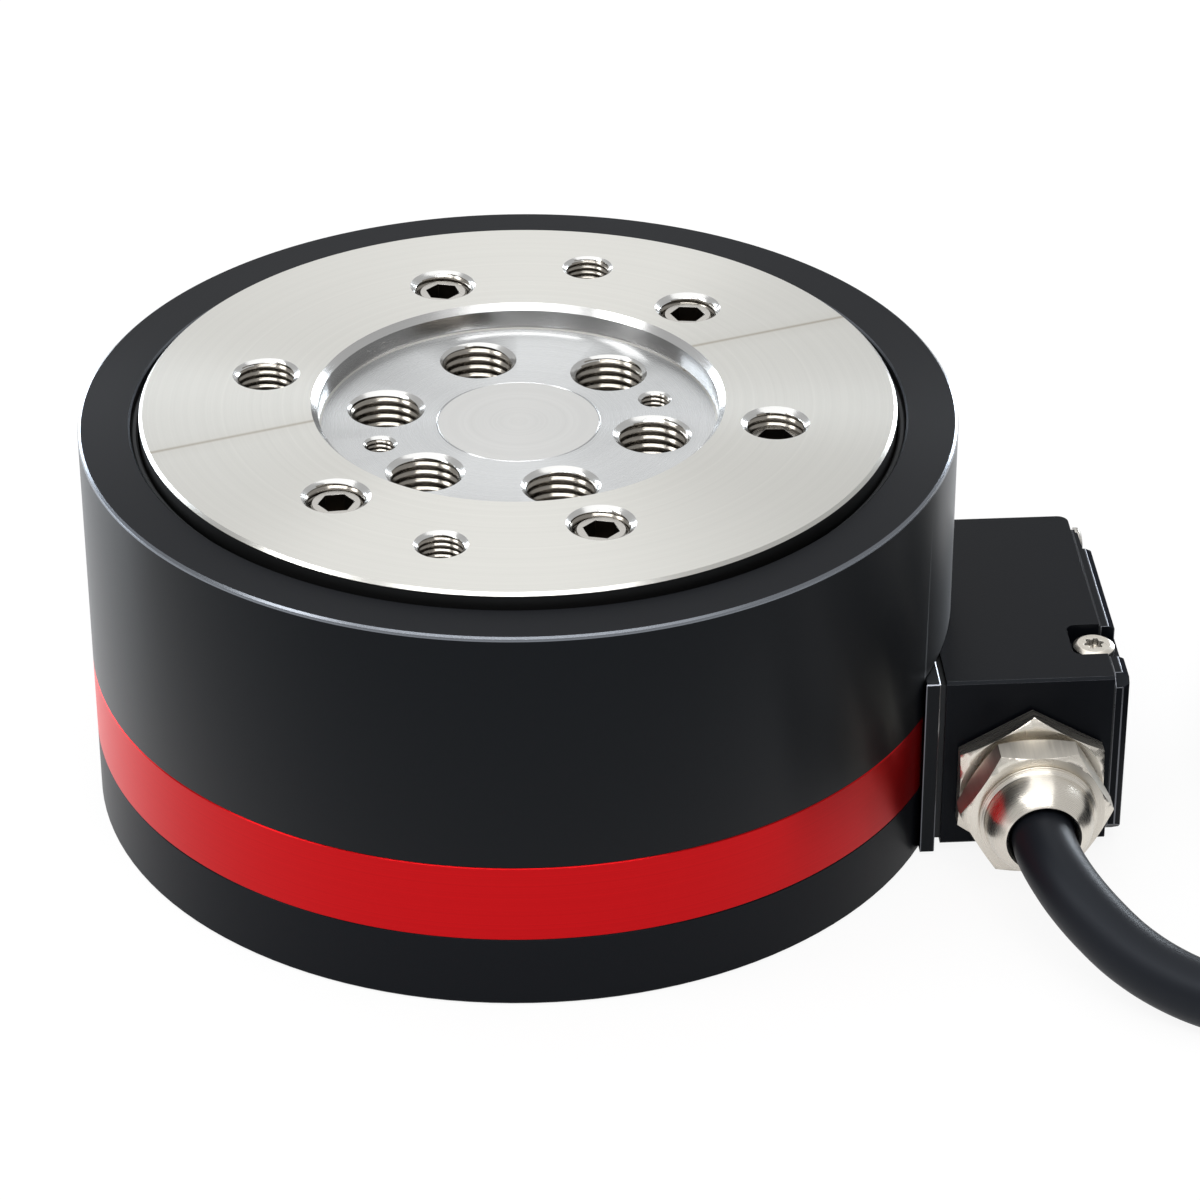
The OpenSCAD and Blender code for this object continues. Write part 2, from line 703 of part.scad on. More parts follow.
module tool_flange() color([0.8, 0.8, 0.78]) {
    difference() {
        union() {
            translate([0, 0, flange_z]) chamfered_ring(0, flange_d / 2, flange_t, 0.5, 0.5);
            translate([0, 0, ring_top]) cylinder(d = hub_d, h = flange_z - ring_top + eps);
        }
        translate([0, 0, recess_z]) recess_cutter();
        translate([0, 0, recess_z - 0.15]) ring(centre_ring_d / 2 - 0.15, centre_ring_d / 2 + 0.15, 0.15 + eps);
        at_angles(pattern, inner_pcd)
            translate([0, 0, recess_z]) tapped_hole(inner_hole_d, inner_hole_depth, hole_chamfer);
        at_angles([between[0], between[3]], small_pcd)
            translate([0, 0, recess_z]) tapped_hole(small_hole_d, small_hole_depth, 0.6);
        at_angles(pattern, outer_pcd)
            translate([0, 0, tool_z]) tapped_hole(outer_hole_d, flange_t + eps, hole_chamfer);
        at_angles([single_angle, single_angle + 180], single_pcd)
            translate([0, 0, tool_z]) tapped_hole(single_hole_d, single_hole_depth, 0.8);
        at_angles(stops, stop_pin_pcd)
            translate([0, 0, flange_z - eps])
                cylinder(d = stop_pin_d + 2 * stop_play, h = stop_pin_top - flange_z + stop_play);
        at_angles(between, hub_screw_pcd)
            translate([0, 0, ring_top - eps])
                cylinder(d = m5_d + 2 * fit, h = hub_screw_seat + hub_screw_l + 0.4 - ring_top);
        at_angles(hub_dowel_angles, hub_dowel_pcd)
            translate([0, 0, ring_top - eps]) cylinder(d = hub_dowel_d, h = hub_dowel_l - hub_dowel_seat + 0.3);
    }
}

module flange_seal() color([0.1, 0.1, 0.1]) {
    low = shell_top - flange_seal_drop - flange_seal_h;
    inner = flange_d / 2 + 0.3;
    translate([0, 0, low]) rotate_extrude() polygon([
        [inner, 0], [lip_r - fit, 0], [lip_r - fit, (flange_seal_h - tongue_h) / 2 + fit],
        [lip_r + tongue_w - fit, (flange_seal_h - tongue_h) / 2 + fit],
        [lip_r + tongue_w - fit, (flange_seal_h + tongue_h) / 2 - fit],
        [lip_r - fit, (flange_seal_h + tongue_h) / 2 - fit],
        [lip_r - fit, flange_seal_h - 0.3], [lip_r - 0.4, flange_seal_h],
        [inner + 0.3, flange_seal_h], [inner, flange_seal_h - 0.3]
    ]);
}

module set_screw(d, l) {
    difference() {
        union() {
            cylinder(d1 = d - 2, d2 = d, h = 1);
            translate([0, 0, 1]) cylinder(d = d, h = l - 1.6);
            translate([0, 0, l - 0.6]) cylinder(d1 = d, d2 = d - 1.2, h = 0.6);
        }
        translate([0, 0, l - 4]) cylinder(d = set_screw_af / cos(30), h = 4 + eps, $fn = 6);
    }
}

module set_screws() color([0.55, 0.55, 0.56]) {
    for (i = [0:5]) if (i != open_hole) {
        top = tool_z - set_screw_drop - (i == deep_hole ? set_screw_turn : 0);
        rotate(pattern[i]) translate([outer_pcd / 2, 0, top - set_screw_l])
            rotate(set_screw_spin[i]) set_screw(outer_hole_d - 2 * fit, set_screw_l);
    }
}

module hub_screws() color([0.3, 0.3, 0.32]) {
    at_angles(between, hub_screw_pcd)
        translate([0, 0, hub_screw_seat]) rotate([180, 0, 0])
            cap_screw(m5_d, hub_screw_l, m5_head_d, m5_head_h, m5_af);
}

module hub_dowels() color([0.7, 0.7, 0.72]) {
    at_angles(hub_dowel_angles, hub_dowel_pcd)
        translate([0, 0, ring_top - hub_dowel_seat]) cylinder(d = hub_dowel_d, h = hub_dowel_l);
}

// ---------------------------------------------------------------- electronics

module amplifier_board() color([0.05, 0.35, 0.15]) {
    difference() {
        translate([0, 0, board_z]) cylinder(d = board_d, h = board_t);
        at_angles(standoff_angles, standoff_pcd) cylinder(d = m25_d + 0.4, h = 2 * board_z);
    }
}

module board_chips() color([0.1, 0.1, 0.1]) {
    translate([-7, -6, board_z + board_t]) cube([12, 12, 1.4]);
    for (a = [75, 105, 135, 200, 225, 250]) rotate(a) translate([12.5, -2, board_z + board_t])
        cube([6, 4, 1.2]);
}

module board_connector() color([0.9, 0.88, 0.8]) {
    translate([connector_x, lead_y - connector_w / 2, board_z + board_t])
        cube([connector_l, connector_w, connector_top - board_z - board_t]);
}

module board_standoffs() color([0.8, 0.65, 0.3]) {
    at_angles(standoff_angles, standoff_pcd)
        translate([0, 0, cover_z + cover_t]) difference() {
            cylinder(d = standoff_d / cos(30), h = standoff_h, $fn = 6);
            translate([0, 0, standoff_h - 4]) cylinder(d = m25_d + 2 * fit, h = 4 + eps);
        }
}

module board_screws() color([0.7, 0.7, 0.72]) {
    at_angles(standoff_angles, standoff_pcd)
        translate([0, 0, board_z + board_t]) pan_screw(m25_d, board_t + 3.5, 4.6, 1.6);
}

module sensor_lead() color([0.2, 0.2, 0.22]) {
    x0 = connector_x + connector_l;
    translate([x0, lead_y, lead_z]) rotate([0, 90, 0]) cylinder(d = lead_d, h = terminal_x - x0, $fn = 48);
}

// ---------------------------------------------------------------- connector box

module box_mount_plate() color([0.07, 0.07, 0.08]) {
    difference() {
        translate([plate_x, box_front_y - plate_overlap, plate_z0])
            cube([plate_t, box_y + plate_overlap, box_top - plate_z0]);
        lead_passage(plate_x - 1, seal_x + 1);
        at_box_screws(seal_x + eps) cylinder(d = m3_d + 2 * screw_play, h = plate_t + 2 * eps);
    }
}

module box_seal() color([0.03, 0.03, 0.03]) {
    difference() {
        translate([seal_x, box_front_y + seal_inset, box_z0 + seal_inset])
            cube([seal_t, box_y - 2 * seal_inset, box_h - 2 * seal_inset]);
        lead_passage(seal_x - 1, box_x0 + 1);
        at_box_screws(box_x0 + eps) cylinder(d = m3_d + 2 * screw_play, h = seal_t + 2 * eps);
    }
}

// The box's outline from above, with its back outer corner rounded
module box_outline() {
    r = box_corner_r;
    difference() {
        translate([box_x0, box_front_y]) square([box_x, box_y]);
        translate([gasket_x - r, box_back_y - r]) difference() {
            square(2 * r);
            circle(r = r);
        }
    }
}

module rounded_rectangle(w, h, r) {
    translate([r, 0]) square([w - 2 * r, h]);
    translate([0, r]) square([w, h - 2 * r]);
    for (x = [r, w - r]) for (y = [r, h - r]) translate([x, y]) circle(r = r, $fn = 48);
}

// The pocket that takes a cover screw's head, open to +X
module screw_pocket(play) {
    translate([pocket_x0 - play, pocket_mid_y - pocket_w / 2 - play, 0])
        linear_extrude(box_h) rounded_rectangle(20, pocket_w + 2 * play, 1.6);
}

// Repeats children at the box's top and, mirrored, at its underside
module top_and_bottom() {
    children();
    translate([0, 0, box_mid_z]) mirror([0, 0, 1]) translate([0, 0, -box_mid_z]) children();
}

module terminal_posts(d, x0, x1) {
    for (y = [terminal_y[0] + terminal_inset, terminal_y[1] - terminal_inset])
        for (z = [terminal_z[0] + terminal_inset, terminal_z[1] - terminal_inset])
            translate([x0, y, z]) rotate([0, 90, 0]) cylinder(d = d, h = x1 - x0, $fn = 48);
}

module connector_box() color([0.06, 0.06, 0.07]) {
    boss_w = pocket_w + 2.4;
    floor_z = box_top - pocket_depth;
    difference() {
        union() {
            difference() {
                translate([0, 0, box_z0]) linear_extrude(box_h) box_outline();
                translate([cavity_x, box_front_y + box_wall, box_z0 + box_wall])
                    cube([box_x, box_y - 2 * box_wall, box_h - 2 * box_wall]);
            }
            top_and_bottom() translate([pocket_x0 - 1.6, pocket_mid_y - boss_w / 2, floor_z - boss_h])
                cube([gasket_x - pocket_x0 + 1.6, boss_w, boss_h + pocket_depth - 1]);
            top_and_bottom() translate([gasket_x - boss_h, side_screw_y - side_boss / 2, side_screw_z - side_boss / 2])
                cube([boss_h, box_back_y - side_screw_y + side_boss / 2 - 1, box_top - side_screw_z + side_boss / 2 - 1]);
            terminal_posts(terminal_post_d, cavity_x - 1, terminal_x);
        }
        top_and_bottom() translate([0, 0, floor_z]) screw_pocket(0);
        top_and_bottom() translate([cover_screw_x, pocket_mid_y, floor_z - cover_screw_l])
            cylinder(d = m25_d + 2 * fit, h = cover_screw_l + 1, $fn = 48);
        top_and_bottom() translate([gasket_x - side_screw_l, side_screw_y, side_screw_z])
            rotate([0, 90, 0]) cylinder(d = m25_d + 2 * fit, h = side_screw_l + 1, $fn = 48);
        terminal_posts(2 + 2 * fit, terminal_x - 4, terminal_x + 1);
        lead_passage(box_x0 - 1, cavity_x + 1);
        at_box_screws(cavity_x + eps) cylinder(d = m3_d + 2 * screw_play, h = box_wall + 2 * eps);
        on_gland_axis(-box_wall - 1) cylinder(d = gland_thread_d + 2 * fit, h = box_wall + 2);
        top_and_bottom() translate([box_x0, box_front_y, box_top])
            rotate([45, 0, 0]) cube([3 * box_x, 0.6, 0.6], center = true);
    }
}

module box_screws() color([0.7, 0.7, 0.72]) {
    at_box_screws(cavity_x) rotate([180, 0, 0]) pan_screw(m3_d, box_screw_l, pan_head_d, pan_head_h);
}

module side_outline(grow) {
    cut = 1.8;
    y0 = box_front_y + side_cover_drop - grow;
    y1 = box_back_y - box_corner_r - 0.2 + grow;
    z0 = box_z0 + side_cover_drop - grow;
    z1 = box_top - side_cover_drop + grow;
    polygon([
        [y0 + cut, z0], [y1 - cut, z0], [y1, z0 + cut], [y1, z1 - cut],
        [y1 - cut, z1], [y0 + cut, z1], [y0, z1 - cut], [y0, z0 + cut]
    ]);
}

// Stands an outline that is drawn in Y and Z on its X
module along_x(x, h) {
    translate([x, 0, 0]) rotate([90, 0, 90]) linear_extrude(h) children();
}

module side_cover_gasket() color([0.05, 0.05, 0.05]) {
    difference() {
        along_x(gasket_x, cover_gasket_t) difference() {
            side_outline(0);
            translate([box_front_y + 2 * box_wall, box_z0 + 2 * box_wall])
                square([box_y - 4.6 * box_wall, box_h - 4 * box_wall]);
        }
        top_and_bottom() translate([0, 0, box_top - pocket_depth]) screw_pocket(slide);
        side_screw_holes(m25_d + 2 * screw_play);
    }
}

module side_screw_holes(d) {
    top_and_bottom() translate([gasket_x - 1, side_screw_y, side_screw_z])
        rotate([0, 90, 0]) cylinder(d = d, h = 2 * side_cover_t + 2, $fn = 48);
}

module side_cover() color([0.06, 0.06, 0.07]) {
    bevel = 0.5;
    floor_z = box_top - pocket_depth;
    difference() {
        union() {
            difference() {
                along_x(side_x, side_cover_t) side_outline(0);
                top_and_bottom() translate([0, 0, floor_z]) screw_pocket(0);
                top_and_bottom() translate([box_end_x, 0, box_top - side_cover_drop])
                    rotate([0, 45, 0]) cube([bevel * sqrt(2), 3 * box_y, bevel * sqrt(2)], center = true);
                for (y = [box_front_y + side_cover_drop, box_back_y - box_corner_r - 0.2])
                    translate([box_end_x, y, box_mid_z]) rotate(45)
                        cube([bevel * sqrt(2), bevel * sqrt(2), 2 * box_h], center = true);
                top_and_bottom() translate([box_end_x - side_recess, side_screw_y - 6, side_screw_z - 3.4])
                    cube([2, 20, 20]);
            }
            top_and_bottom() intersection() {
                translate([0, 0, floor_z]) screw_pocket(-slide);
                translate([0, box_front_y, floor_z]) cube([box_end_x, box_y, lug_t]);
            }
        }
        top_and_bottom() translate([cover_screw_x, pocket_mid_y, floor_z - 1])
            cylinder(d = m25_d + 2 * screw_play, h = lug_t + 2, $fn = 48);
        side_screw_holes(m25_d + 2 * screw_play);
    }
}

module cover_screws() color([0.8, 0.8, 0.8]) {
    top_and_bottom() translate([cover_screw_x, pocket_mid_y, box_top - pocket_depth + lug_t])
        rotate(10) pan_screw(m25_d, cover_screw_l, pan_head_d, pan_head_h);
}

module cover_side_screws() color([0.8, 0.8, 0.8]) {
    top_and_bottom() translate([box_end_x - side_recess, side_screw_y, side_screw_z])
        rotate([0, 90, 0]) pan_screw(m25_d, side_screw_l, pan_head_d, side_head_h);
}

module terminal_board() color([0.05, 0.35, 0.15]) {
    difference() {
        translate([terminal_x, terminal_y[0], terminal_z[0]])
            cube([board_t, terminal_y[1] - terminal_y[0], terminal_z[1] - terminal_z[0]]);
        terminal_posts(2 + 2 * screw_play, terminal_x - 1, terminal_x + board_t + 1);
    }
}

module terminal_block() color([0.15, 0.4, 0.25]) {
    x0 = terminal_x + board_t;
    difference() {
        translate([x0, block_y[0], block_z[0]])
            cube([block_x - x0, block_y[1] - block_y[0], block_z[1] - block_z[0]]);
        for (z = [-1.5, -0.5, 0.5, 1.5])
            translate([gland_x, (block_y[0] + block_y[1]) / 2, gland_z + z * conductor_step])
                rotate([0, 90, 0]) cylinder(d = 2, h = 5, $fn = 24);
    }
}

module terminal_screws() color([0.7, 0.7, 0.72]) {
    for (y = [terminal_y[0] + terminal_inset, terminal_y[1] - terminal_inset])
        for (z = [terminal_z[0] + terminal_inset, terminal_z[1] - terminal_inset])
            translate([terminal_x + board_t, y, z]) rotate([0, 90, 0]) pan_screw(2, board_t + 3, 3.6, 1.4);
}

// ---------------------------------------------------------------- cable gland

module gland_washer() color([0.05, 0.05, 0.05]) {
    on_gland_axis() ring(gland_thread_d / 2 + fit, gland_thread_d / 2 + 1.6, washer_t);
}

module gland_body() color([0.75, 0.73, 0.68]) {
    tail = box_wall + lock_nut_h + 0.5;
    on_gland_axis() difference() {
        union() {
            translate([0, 0, -tail]) cylinder(d = gland_thread_d, h = tail + washer_t + eps);
            translate([0, 0, washer_t]) rotate(30) turned_hexagon(gland_af, gland_hex_h, false, true);
            translate([0, 0, washer_t + gland_hex_h - eps]) cylinder(d = collar_d, h = collar_h + eps);
            translate([0, 0, cap_y0 - eps]) cylinder(d = spigot_d, h = spigot_h);
        }
        translate([0, 0, -tail - 1]) cylinder(d = cable_d + 0.6, h = tail + spigot_h + cap_y0 + 2);
        translate([0, 0, seal_front]) cylinder(d = gland_seal_d + 2 * fit, h = spigot_h + cap_y0);
    }
}

module gland_lock_nut() color([0.75, 0.73, 0.68]) {
    on_gland_axis(-box_wall - lock_nut_h) difference() {
        turned_hexagon(lock_nut_af, lock_nut_h, true, false);
        translate([0, 0, -1]) cylinder(d = gland_thread_d + 2 * fit, h = lock_nut_h + 2);
    }
}

module gland_seal() color([0.1, 0.1, 0.1]) {
    on_gland_axis(seal_front) ring(cable_d / 2 + fit, gland_seal_d / 2, seal_len);
}

module gland_cap_nut() color([0.75, 0.73, 0.68]) {
    root = dome_d / 2;
    lip = mouth_d / 2 + 0.75;
    bow = 1.2;
    on_gland_axis(cap_y0) difference() {
        union() {
            turned_hexagon(cap_af, cap_hex_h, true, true);
            translate([0, 0, cap_hex_h - eps]) rotate_extrude() polygon(concat(
                [[0, 0], [root, 0], [root, 1.1], [root - 0.4, 1.3]],
                [for (i = [0:8]) let (t = i / 8) [
                    root - 0.4 - (root - 0.4 - lip) * t + bow * sin(180 * t) * 0.35,
                    1.3 + (dome_h - 1.6) * t + bow * sin(180 * t) * 0.5
                ]],
                [[lip - 0.35, dome_h], [0, dome_h]]
            ));
        }
        translate([0, 0, -eps]) cylinder(d = spigot_d + 2 * fit, h = spigot_h + 0.2);
        cylinder(d = gland_seal_d + 2 * fit, h = seal_front + seal_len - cap_y0 + 0.2);
        cylinder(d = mouth_d, h = cap_hex_h + dome_h + 1);
        translate([0, 0, cap_hex_h + dome_h - 0.4]) cylinder(d1 = mouth_d, d2 = mouth_d + 0.8, h = 0.4 + eps);
    }
}

// ---------------------------------------------------------------- cable

module cable_conductors() color([0.8, 0.7, 0.2]) {
    for (x = [-0.5, 0.5]) for (z = [-0.5, 0.5])
        translate([gland_x + x * conductor_step, block_y[0], gland_z + z * conductor_step])
            rotate([90, 0, 0]) cylinder(d = conductor_d, h = block_y[0] - jacket_end_y, $fn = 32);
}

module cable() color([0.12, 0.12, 0.13]) swept_tube(cable_route, cable_d / 2, 12);

module tie_place() {
    translate([coil_centre[0], coil_centre[1], coil_z0]) rotate(150) translate([coil_r, 0, 0]) children();
}

module tie_outline(inset) {
    w = coil_across * cable_d - 2 * inset;
    h = coil_layers * cable_d - 2 * inset;
    translate([-w / 2, inset]) rounded_rectangle(w, h, coil_corner - inset);
}

module tie_band() {
    rotate([90, 0, 0]) translate([0, 0, -tie_w / 2]) linear_extrude(tie_w) difference() {
        tie_outline(0);
        tie_outline(tie_t);
    }
}

module coil_tie() color([0.1, 0.1, 0.1]) tie_place() tie_band();

// The outer shape of the wound cable, with the ends that leave it
module cable_coil() color([0.12, 0.12, 0.13]) {
    difference() {
        translate([coil_centre[0], coil_centre[1], coil_z0]) union() {
            rotate_extrude() translate([coil_r, 0]) tie_outline(0);
            translate([-coil_lead, -turn_r, cable_d / 2])
                rotate([0, 90, 0]) cylinder(d = cable_d - 0.2, h = coil_lead + 2);
            translate([turn_r, -2, top_turn_z])
                rotate([-90, 0, 0]) cylinder(d = cable_d - 0.2, h = tail_lead + 2);
        }
        tie_place() rotate([90, 0, 0]) translate([0, 0, -tie_w / 2]) linear_extrude(tie_w) difference() {
            translate([0, -1]) square([2 * coil_r, 3 * coil_layers * cable_d], center = true);
            tie_outline(tie_t);
        }
    }
}

module cable_tail() color([0.12, 0.12, 0.13]) swept_tube(tail_route, cable_d / 2, 12);

// Turns +Z to +Y on the plug's axis
module on_plug_axis(y) {
    translate([tail_x, y, plug_z]) rotate([-90, 0, 0]) children();
}

module plug_boot() color([0.1, 0.1, 0.1]) {
    on_plug_axis(boot_y) {
        cylinder(d1 = cable_d + 2, d2 = plug_d - 6, h = boot_l - 4);
        translate([0, 0, boot_l - 4]) cylinder(d = plug_d - 6, h = 4);
    }
}

module plug_shell() color([0.75, 0.75, 0.74]) {
    on_plug_axis(plug_y) difference() {
        union() {
            cylinder(d = plug_d - 2, h = plug_l);
            translate([0, 0, 4]) cylinder(d = plug_d, h = 6);
        }
        translate([0, 0, plug_l - insert_depth]) cylinder(d = insert_d + 2 * fit, h = insert_depth + 1);
        translate([0, 0, plug_l - insert_depth + insert_l]) cylinder(d = insert_d + 1, h = insert_depth);
        translate([0, 0, 12]) ring(plug_d / 2 - 2, plug_d, plug_l);
    }
}

module plug_ring() color([0.75, 0.75, 0.74]) {
    grooves = 24;
    on_plug_axis(plug_y + 12) difference() {
        cylinder(r = plug_z, h = plug_ring_l);
        translate([0, 0, -1]) cylinder(r = plug_d / 2 - 2 + fit, h = plug_ring_l + 2);
        for (i = [0:grooves - 1]) rotate((i + 0.5) * 360 / grooves) translate([plug_z + 0.4, 0, -1])
            cylinder(d = 1.6, h = plug_ring_l - 3, $fn = 16);
    }
}

module plug_insert() color([0.15, 0.15, 0.15]) {
    on_plug_axis(plug_y + plug_l - insert_depth) cylinder(d = insert_d, h = insert_l);
}

module plug_pins() color([0.85, 0.7, 0.3]) {
    on_plug_axis(plug_y + plug_l - insert_depth + insert_l) {
        for (i = [0:8]) rotate(40 * i) translate([insert_d / 2 - 2.6, 0, 0]) cylinder(d = 1, h = 6, $fn = 24);
        for (i = [0:2]) rotate(120 * i) translate([2.2, 0, 0]) cylinder(d = 1, h = 6, $fn = 24);
    }
}

base_flange();
base_cover();
base_cover_gasket();
base_cover_screws();
base_seal();
accent_ring();
shell_seal();
upper_shell();
shell_screws();
measuring_body();
measuring_body_screws();
strain_gauges();
overload_pins();
tool_flange();
flange_seal();
set_screws();
hub_screws();
hub_dowels();
amplifier_board();
board_chips();
board_connector();
board_standoffs();
board_screws();
sensor_lead();
box_mount_plate();
box_seal();
connector_box();
box_screws();
side_cover();
side_cover_gasket();
cover_screws();
cover_side_screws();
terminal_board();
terminal_block();
terminal_screws();
gland_washer();
gland_body();
gland_lock_nut();
gland_seal();
gland_cap_nut();
cable_conductors();
cable();
cable_coil();
coil_tie();
cable_tail();
plug_boot();
plug_shell();
plug_ring();
plug_insert();
plug_pins();
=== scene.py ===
"""Looks of the force torque sensor: turned steel flange, anodised housing, side box, gland and cable."""

import json
import math

import bmesh
import bpy
from mathutils import Matrix, Vector


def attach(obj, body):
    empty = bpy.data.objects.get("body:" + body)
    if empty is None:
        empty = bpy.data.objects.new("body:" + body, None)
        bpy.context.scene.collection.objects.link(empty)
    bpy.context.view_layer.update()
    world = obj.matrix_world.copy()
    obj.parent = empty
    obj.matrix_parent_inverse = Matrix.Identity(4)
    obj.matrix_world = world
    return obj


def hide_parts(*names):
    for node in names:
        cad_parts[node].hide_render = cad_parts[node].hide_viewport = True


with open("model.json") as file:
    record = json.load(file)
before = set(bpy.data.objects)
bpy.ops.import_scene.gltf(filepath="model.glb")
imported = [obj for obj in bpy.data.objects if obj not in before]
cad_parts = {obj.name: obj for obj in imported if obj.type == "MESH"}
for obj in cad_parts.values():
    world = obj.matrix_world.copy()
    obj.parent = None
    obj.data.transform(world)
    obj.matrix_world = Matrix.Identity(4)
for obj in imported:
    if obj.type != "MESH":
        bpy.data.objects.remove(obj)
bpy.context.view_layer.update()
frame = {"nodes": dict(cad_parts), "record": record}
nodes = frame["nodes"]

# ------------------------------------------------------------------ sizes, in metres and degrees

# Housing
BODY_R = 0.070
BASE_TOP = 0.0122
BAND_TOP = 0.0254
SHELL_TOP = 0.0662
SHELL_INSIDE_R = 0.064
SHELL_FOOT_R = 0.058
SHELL_FOOT_TOP = 0.0344
LIP_R = 0.06175
LIP_BOTTOM = 0.0582
LIP_ROOT = 0.0562

# The flat milled into the housing for the side box
SEAT_X = 0.0625
SEAT_TOP = 0.03255
SEAT_END_Y = 0.01815

# Tool flange
TOOL_Z = 0.0680
FLANGE_R = 0.06025
FLANGE_Z = 0.0520
FLANGE_EDGE = 0.0005
HUB_R = 0.030
HUB_Z = 0.044
RECESS_R = 0.0320
RECESS_Z = 0.0638
RECESS_FOOT = 0.0005
RECESS_MOUTH = 0.0010
GROOVE_R = 0.0130
GROOVE_HALF = 0.00015
GROOVE_DEPTH = 0.00012

# Tapped holes: the ring's radius, first angle and count, the heights of the mouth and the bottom, the
# bore's radius, the depth and pitch of the thread, the mouth's chamfer and whether it is open below
PATTERN_ANGLE = -15.0
HOLE_RINGS = {
    "inner": dict(
        ring_r=0.02175, first=PATTERN_ANGLE, count=6, mouth=RECESS_Z, bottom=0.0488,
        bore=0.00525, depth=0.00082, pitch=0.0015, chamfer=0.0010, through=False,
    ),
    "outer": dict(
        ring_r=0.04150, first=PATTERN_ANGLE, count=6, mouth=TOOL_Z, bottom=FLANGE_Z,
        bore=0.00440, depth=0.00068, pitch=0.00125, chamfer=0.0010, through=True,
    ),
    "small": dict(
        ring_r=0.02300, first=-PATTERN_ANGLE, count=2, mouth=RECESS_Z, bottom=0.0558,
        bore=0.00210, depth=0.00042, pitch=0.0008, chamfer=0.0006, through=False,
    ),
    "single": dict(
        ring_r=0.04700, first=73.0, count=2, mouth=TOOL_Z, bottom=0.0560,
        bore=0.00340, depth=0.00056, pitch=0.0010, chamfer=0.0008, through=False,
    ),
}
# One turn of the thread, as shares of its pitch and of the depth that is cut
THREAD_FORM = ((0.0, 0.0), (0.12, 0.06), (0.24, 0.3), (0.36, 0.72), (0.46, 1.0), (0.6, 0.85), (0.8, 0.2))
THREAD_CUT = 0.6
MOUTH_SLOPE = 1.5
CUT_ABOVE = 0.001
CUT_BELOW_THROUGH = 0.002
CUT_BELOW_BLIND = 0.0035

# The hexagon sockets of the set screws
SOCKET_R = 0.0029
SOCKET_TOP = 0.0665
SOCKET_FLOOR = 0.0652

# The darker line across the tool flange
CROSS_LINE_ANGLE = 18.8
CROSS_LINE_OFFSET = 0.0055
CROSS_LINE_HALF_WIDTH = 0.0006
CROSS_LINE_HALO = 0.0035

# Side cover and the axis of its upright screws
COVER_X = 0.0928
COVER_GROWTH = 2.1
COVER_SCREW = (0.091, -0.0213)
HEAD_GROWTH = 1.12

# Cable gland; a ridge is its place along Y and its half thickness
GLAND_X = 0.0795
GLAND_Z = 0.014
GLAND_FLATS_R = 0.0102
RIDGE_R = 0.00922
RIDGES = ((-0.04420, 0.00016), (-0.04478, 0.00014))

# Cable, with the points of its route in millimetres
MM = 0.001
CABLE_D = 0.010
COIL_CENTRE = Vector((0.190, -0.016, 0.0))
COIL_R = 0.0554
COIL_ACROSS = 4
TURN_R = COIL_R + (COIL_ACROSS - 1) * CABLE_D / 2
TAIL_X = COIL_CENTRE.x + TURN_R
CABLE_ROUTE = [
    (79.5, -27, 14), (79.5, -40, 14), (79.5, -48, 14), (79.5, -53, 13.9),
    (80.5, -58, 13.2), (82.5, -63, 11.8), (85.5, -68, 10), (89.5, -73, 8),
    (94.5, -77.5, 6.4), (100.5, -81.5, 5.4), (107.5, -84.4, 5), (115.5, -86, 5),
    (125.5, -86.6, 5), (135.5, -86.6, 5), (146, -86.4, 5), (168, -86.4, 5),
]
TAIL_STEPS = [(-4, 15), (2, 15), (8, 14.9), (14, 14.6), (20, 14.3), (26, 14), (32, 13.85), (38, 13.8)]
STRAP_ANGLE = 150
STRAP_HALF_WIDTH = 0.0025
STRAP_SINK = 0.0008
STRAP_RISE = 0.0006

# Width of the broken edges on each piece, and the finish on them where it differs from the piece's
BROKEN_EDGES = {
    "connector_box": 0.0003, "side_cover": 0.00014, "box_mount_plate": 0.0002, "cover_screws": 0.00015,
    "cover_side_screws": 0.00015, "set_screws": 0.00012, "gland_body": 0.00012, "gland_cap_nut": 0.00012,
    "gland_washer": 0.0001, "gland_seal": 0.00015, "base_flange": 0.0, "flange_seal": 0.0,
    "plug_boot": 0.0004, "plug_shell": 0.00025, "plug_ring": 0.00015, "plug_insert": 0.0001,
    "plug_pins": 0.0, "box_seal": 0.0, "base_cover": 0.0001, "base_cover_screws": 0.0,
}
EDGE_FINISHES = {
    "connector_box": "worn_edge", "side_cover": "worn_edge", "box_mount_plate": "worn_edge",
    "gland_body": "nickel", "gland_cap_nut": "nickel",
}

# Camera, and lamps: name, place, width and height, power in watts, colour
CAMERA_PLACE = (-0.0253, -0.6290, 0.4117)
CAMERA_TURN = -3.48
CAMERA_TILT = 58.79
CAMERA_ROLL = -0.141
LENS_MM = 135
SENSOR_MM = 36
WHITE = (1.0, 1.0, 1.0)
COOL_LIGHT = (0.86, 0.93, 1.0)
LAMP_AIM = Vector((0, 0, 0.04))
LAMPS = (
    ("overhead_light", (0.0, 0.15, 1.2), (1.3, 1.2), 4.9, WHITE),
    ("back_light", (0.0, 1.25, 0.80), (0.5, 1.5), 1.5, WHITE),
    ("edge_light", (-0.05, -0.62, 1.02), (1.1, 0.2), 6, WHITE),
    ("left_edge_light", (-0.75, -0.15, 0.85), (0.3, 0.5), 3, WHITE),
    ("left_box", (-0.84, 0.80, 0.20), (1.2, 0.36), 12, COOL_LIGHT),
    ("right_box", (0.72, 0.86, 0.20), (0.35, 0.36), 6, COOL_LIGHT),
)
FLOOR_REACH = 6


# ------------------------------------------------------------------ places and objects

def polar(radius, angle, z=0.0):
    return Vector((radius * math.cos(angle), radius * math.sin(angle), z))


def away(place):
    """Distance from the Z axis."""
    return math.hypot(place.x, place.y)


def linked(name, data):
    """A new object in the scene."""
    piece = bpy.data.objects.new(name, data)
    bpy.context.scene.collection.objects.link(piece)
    return piece


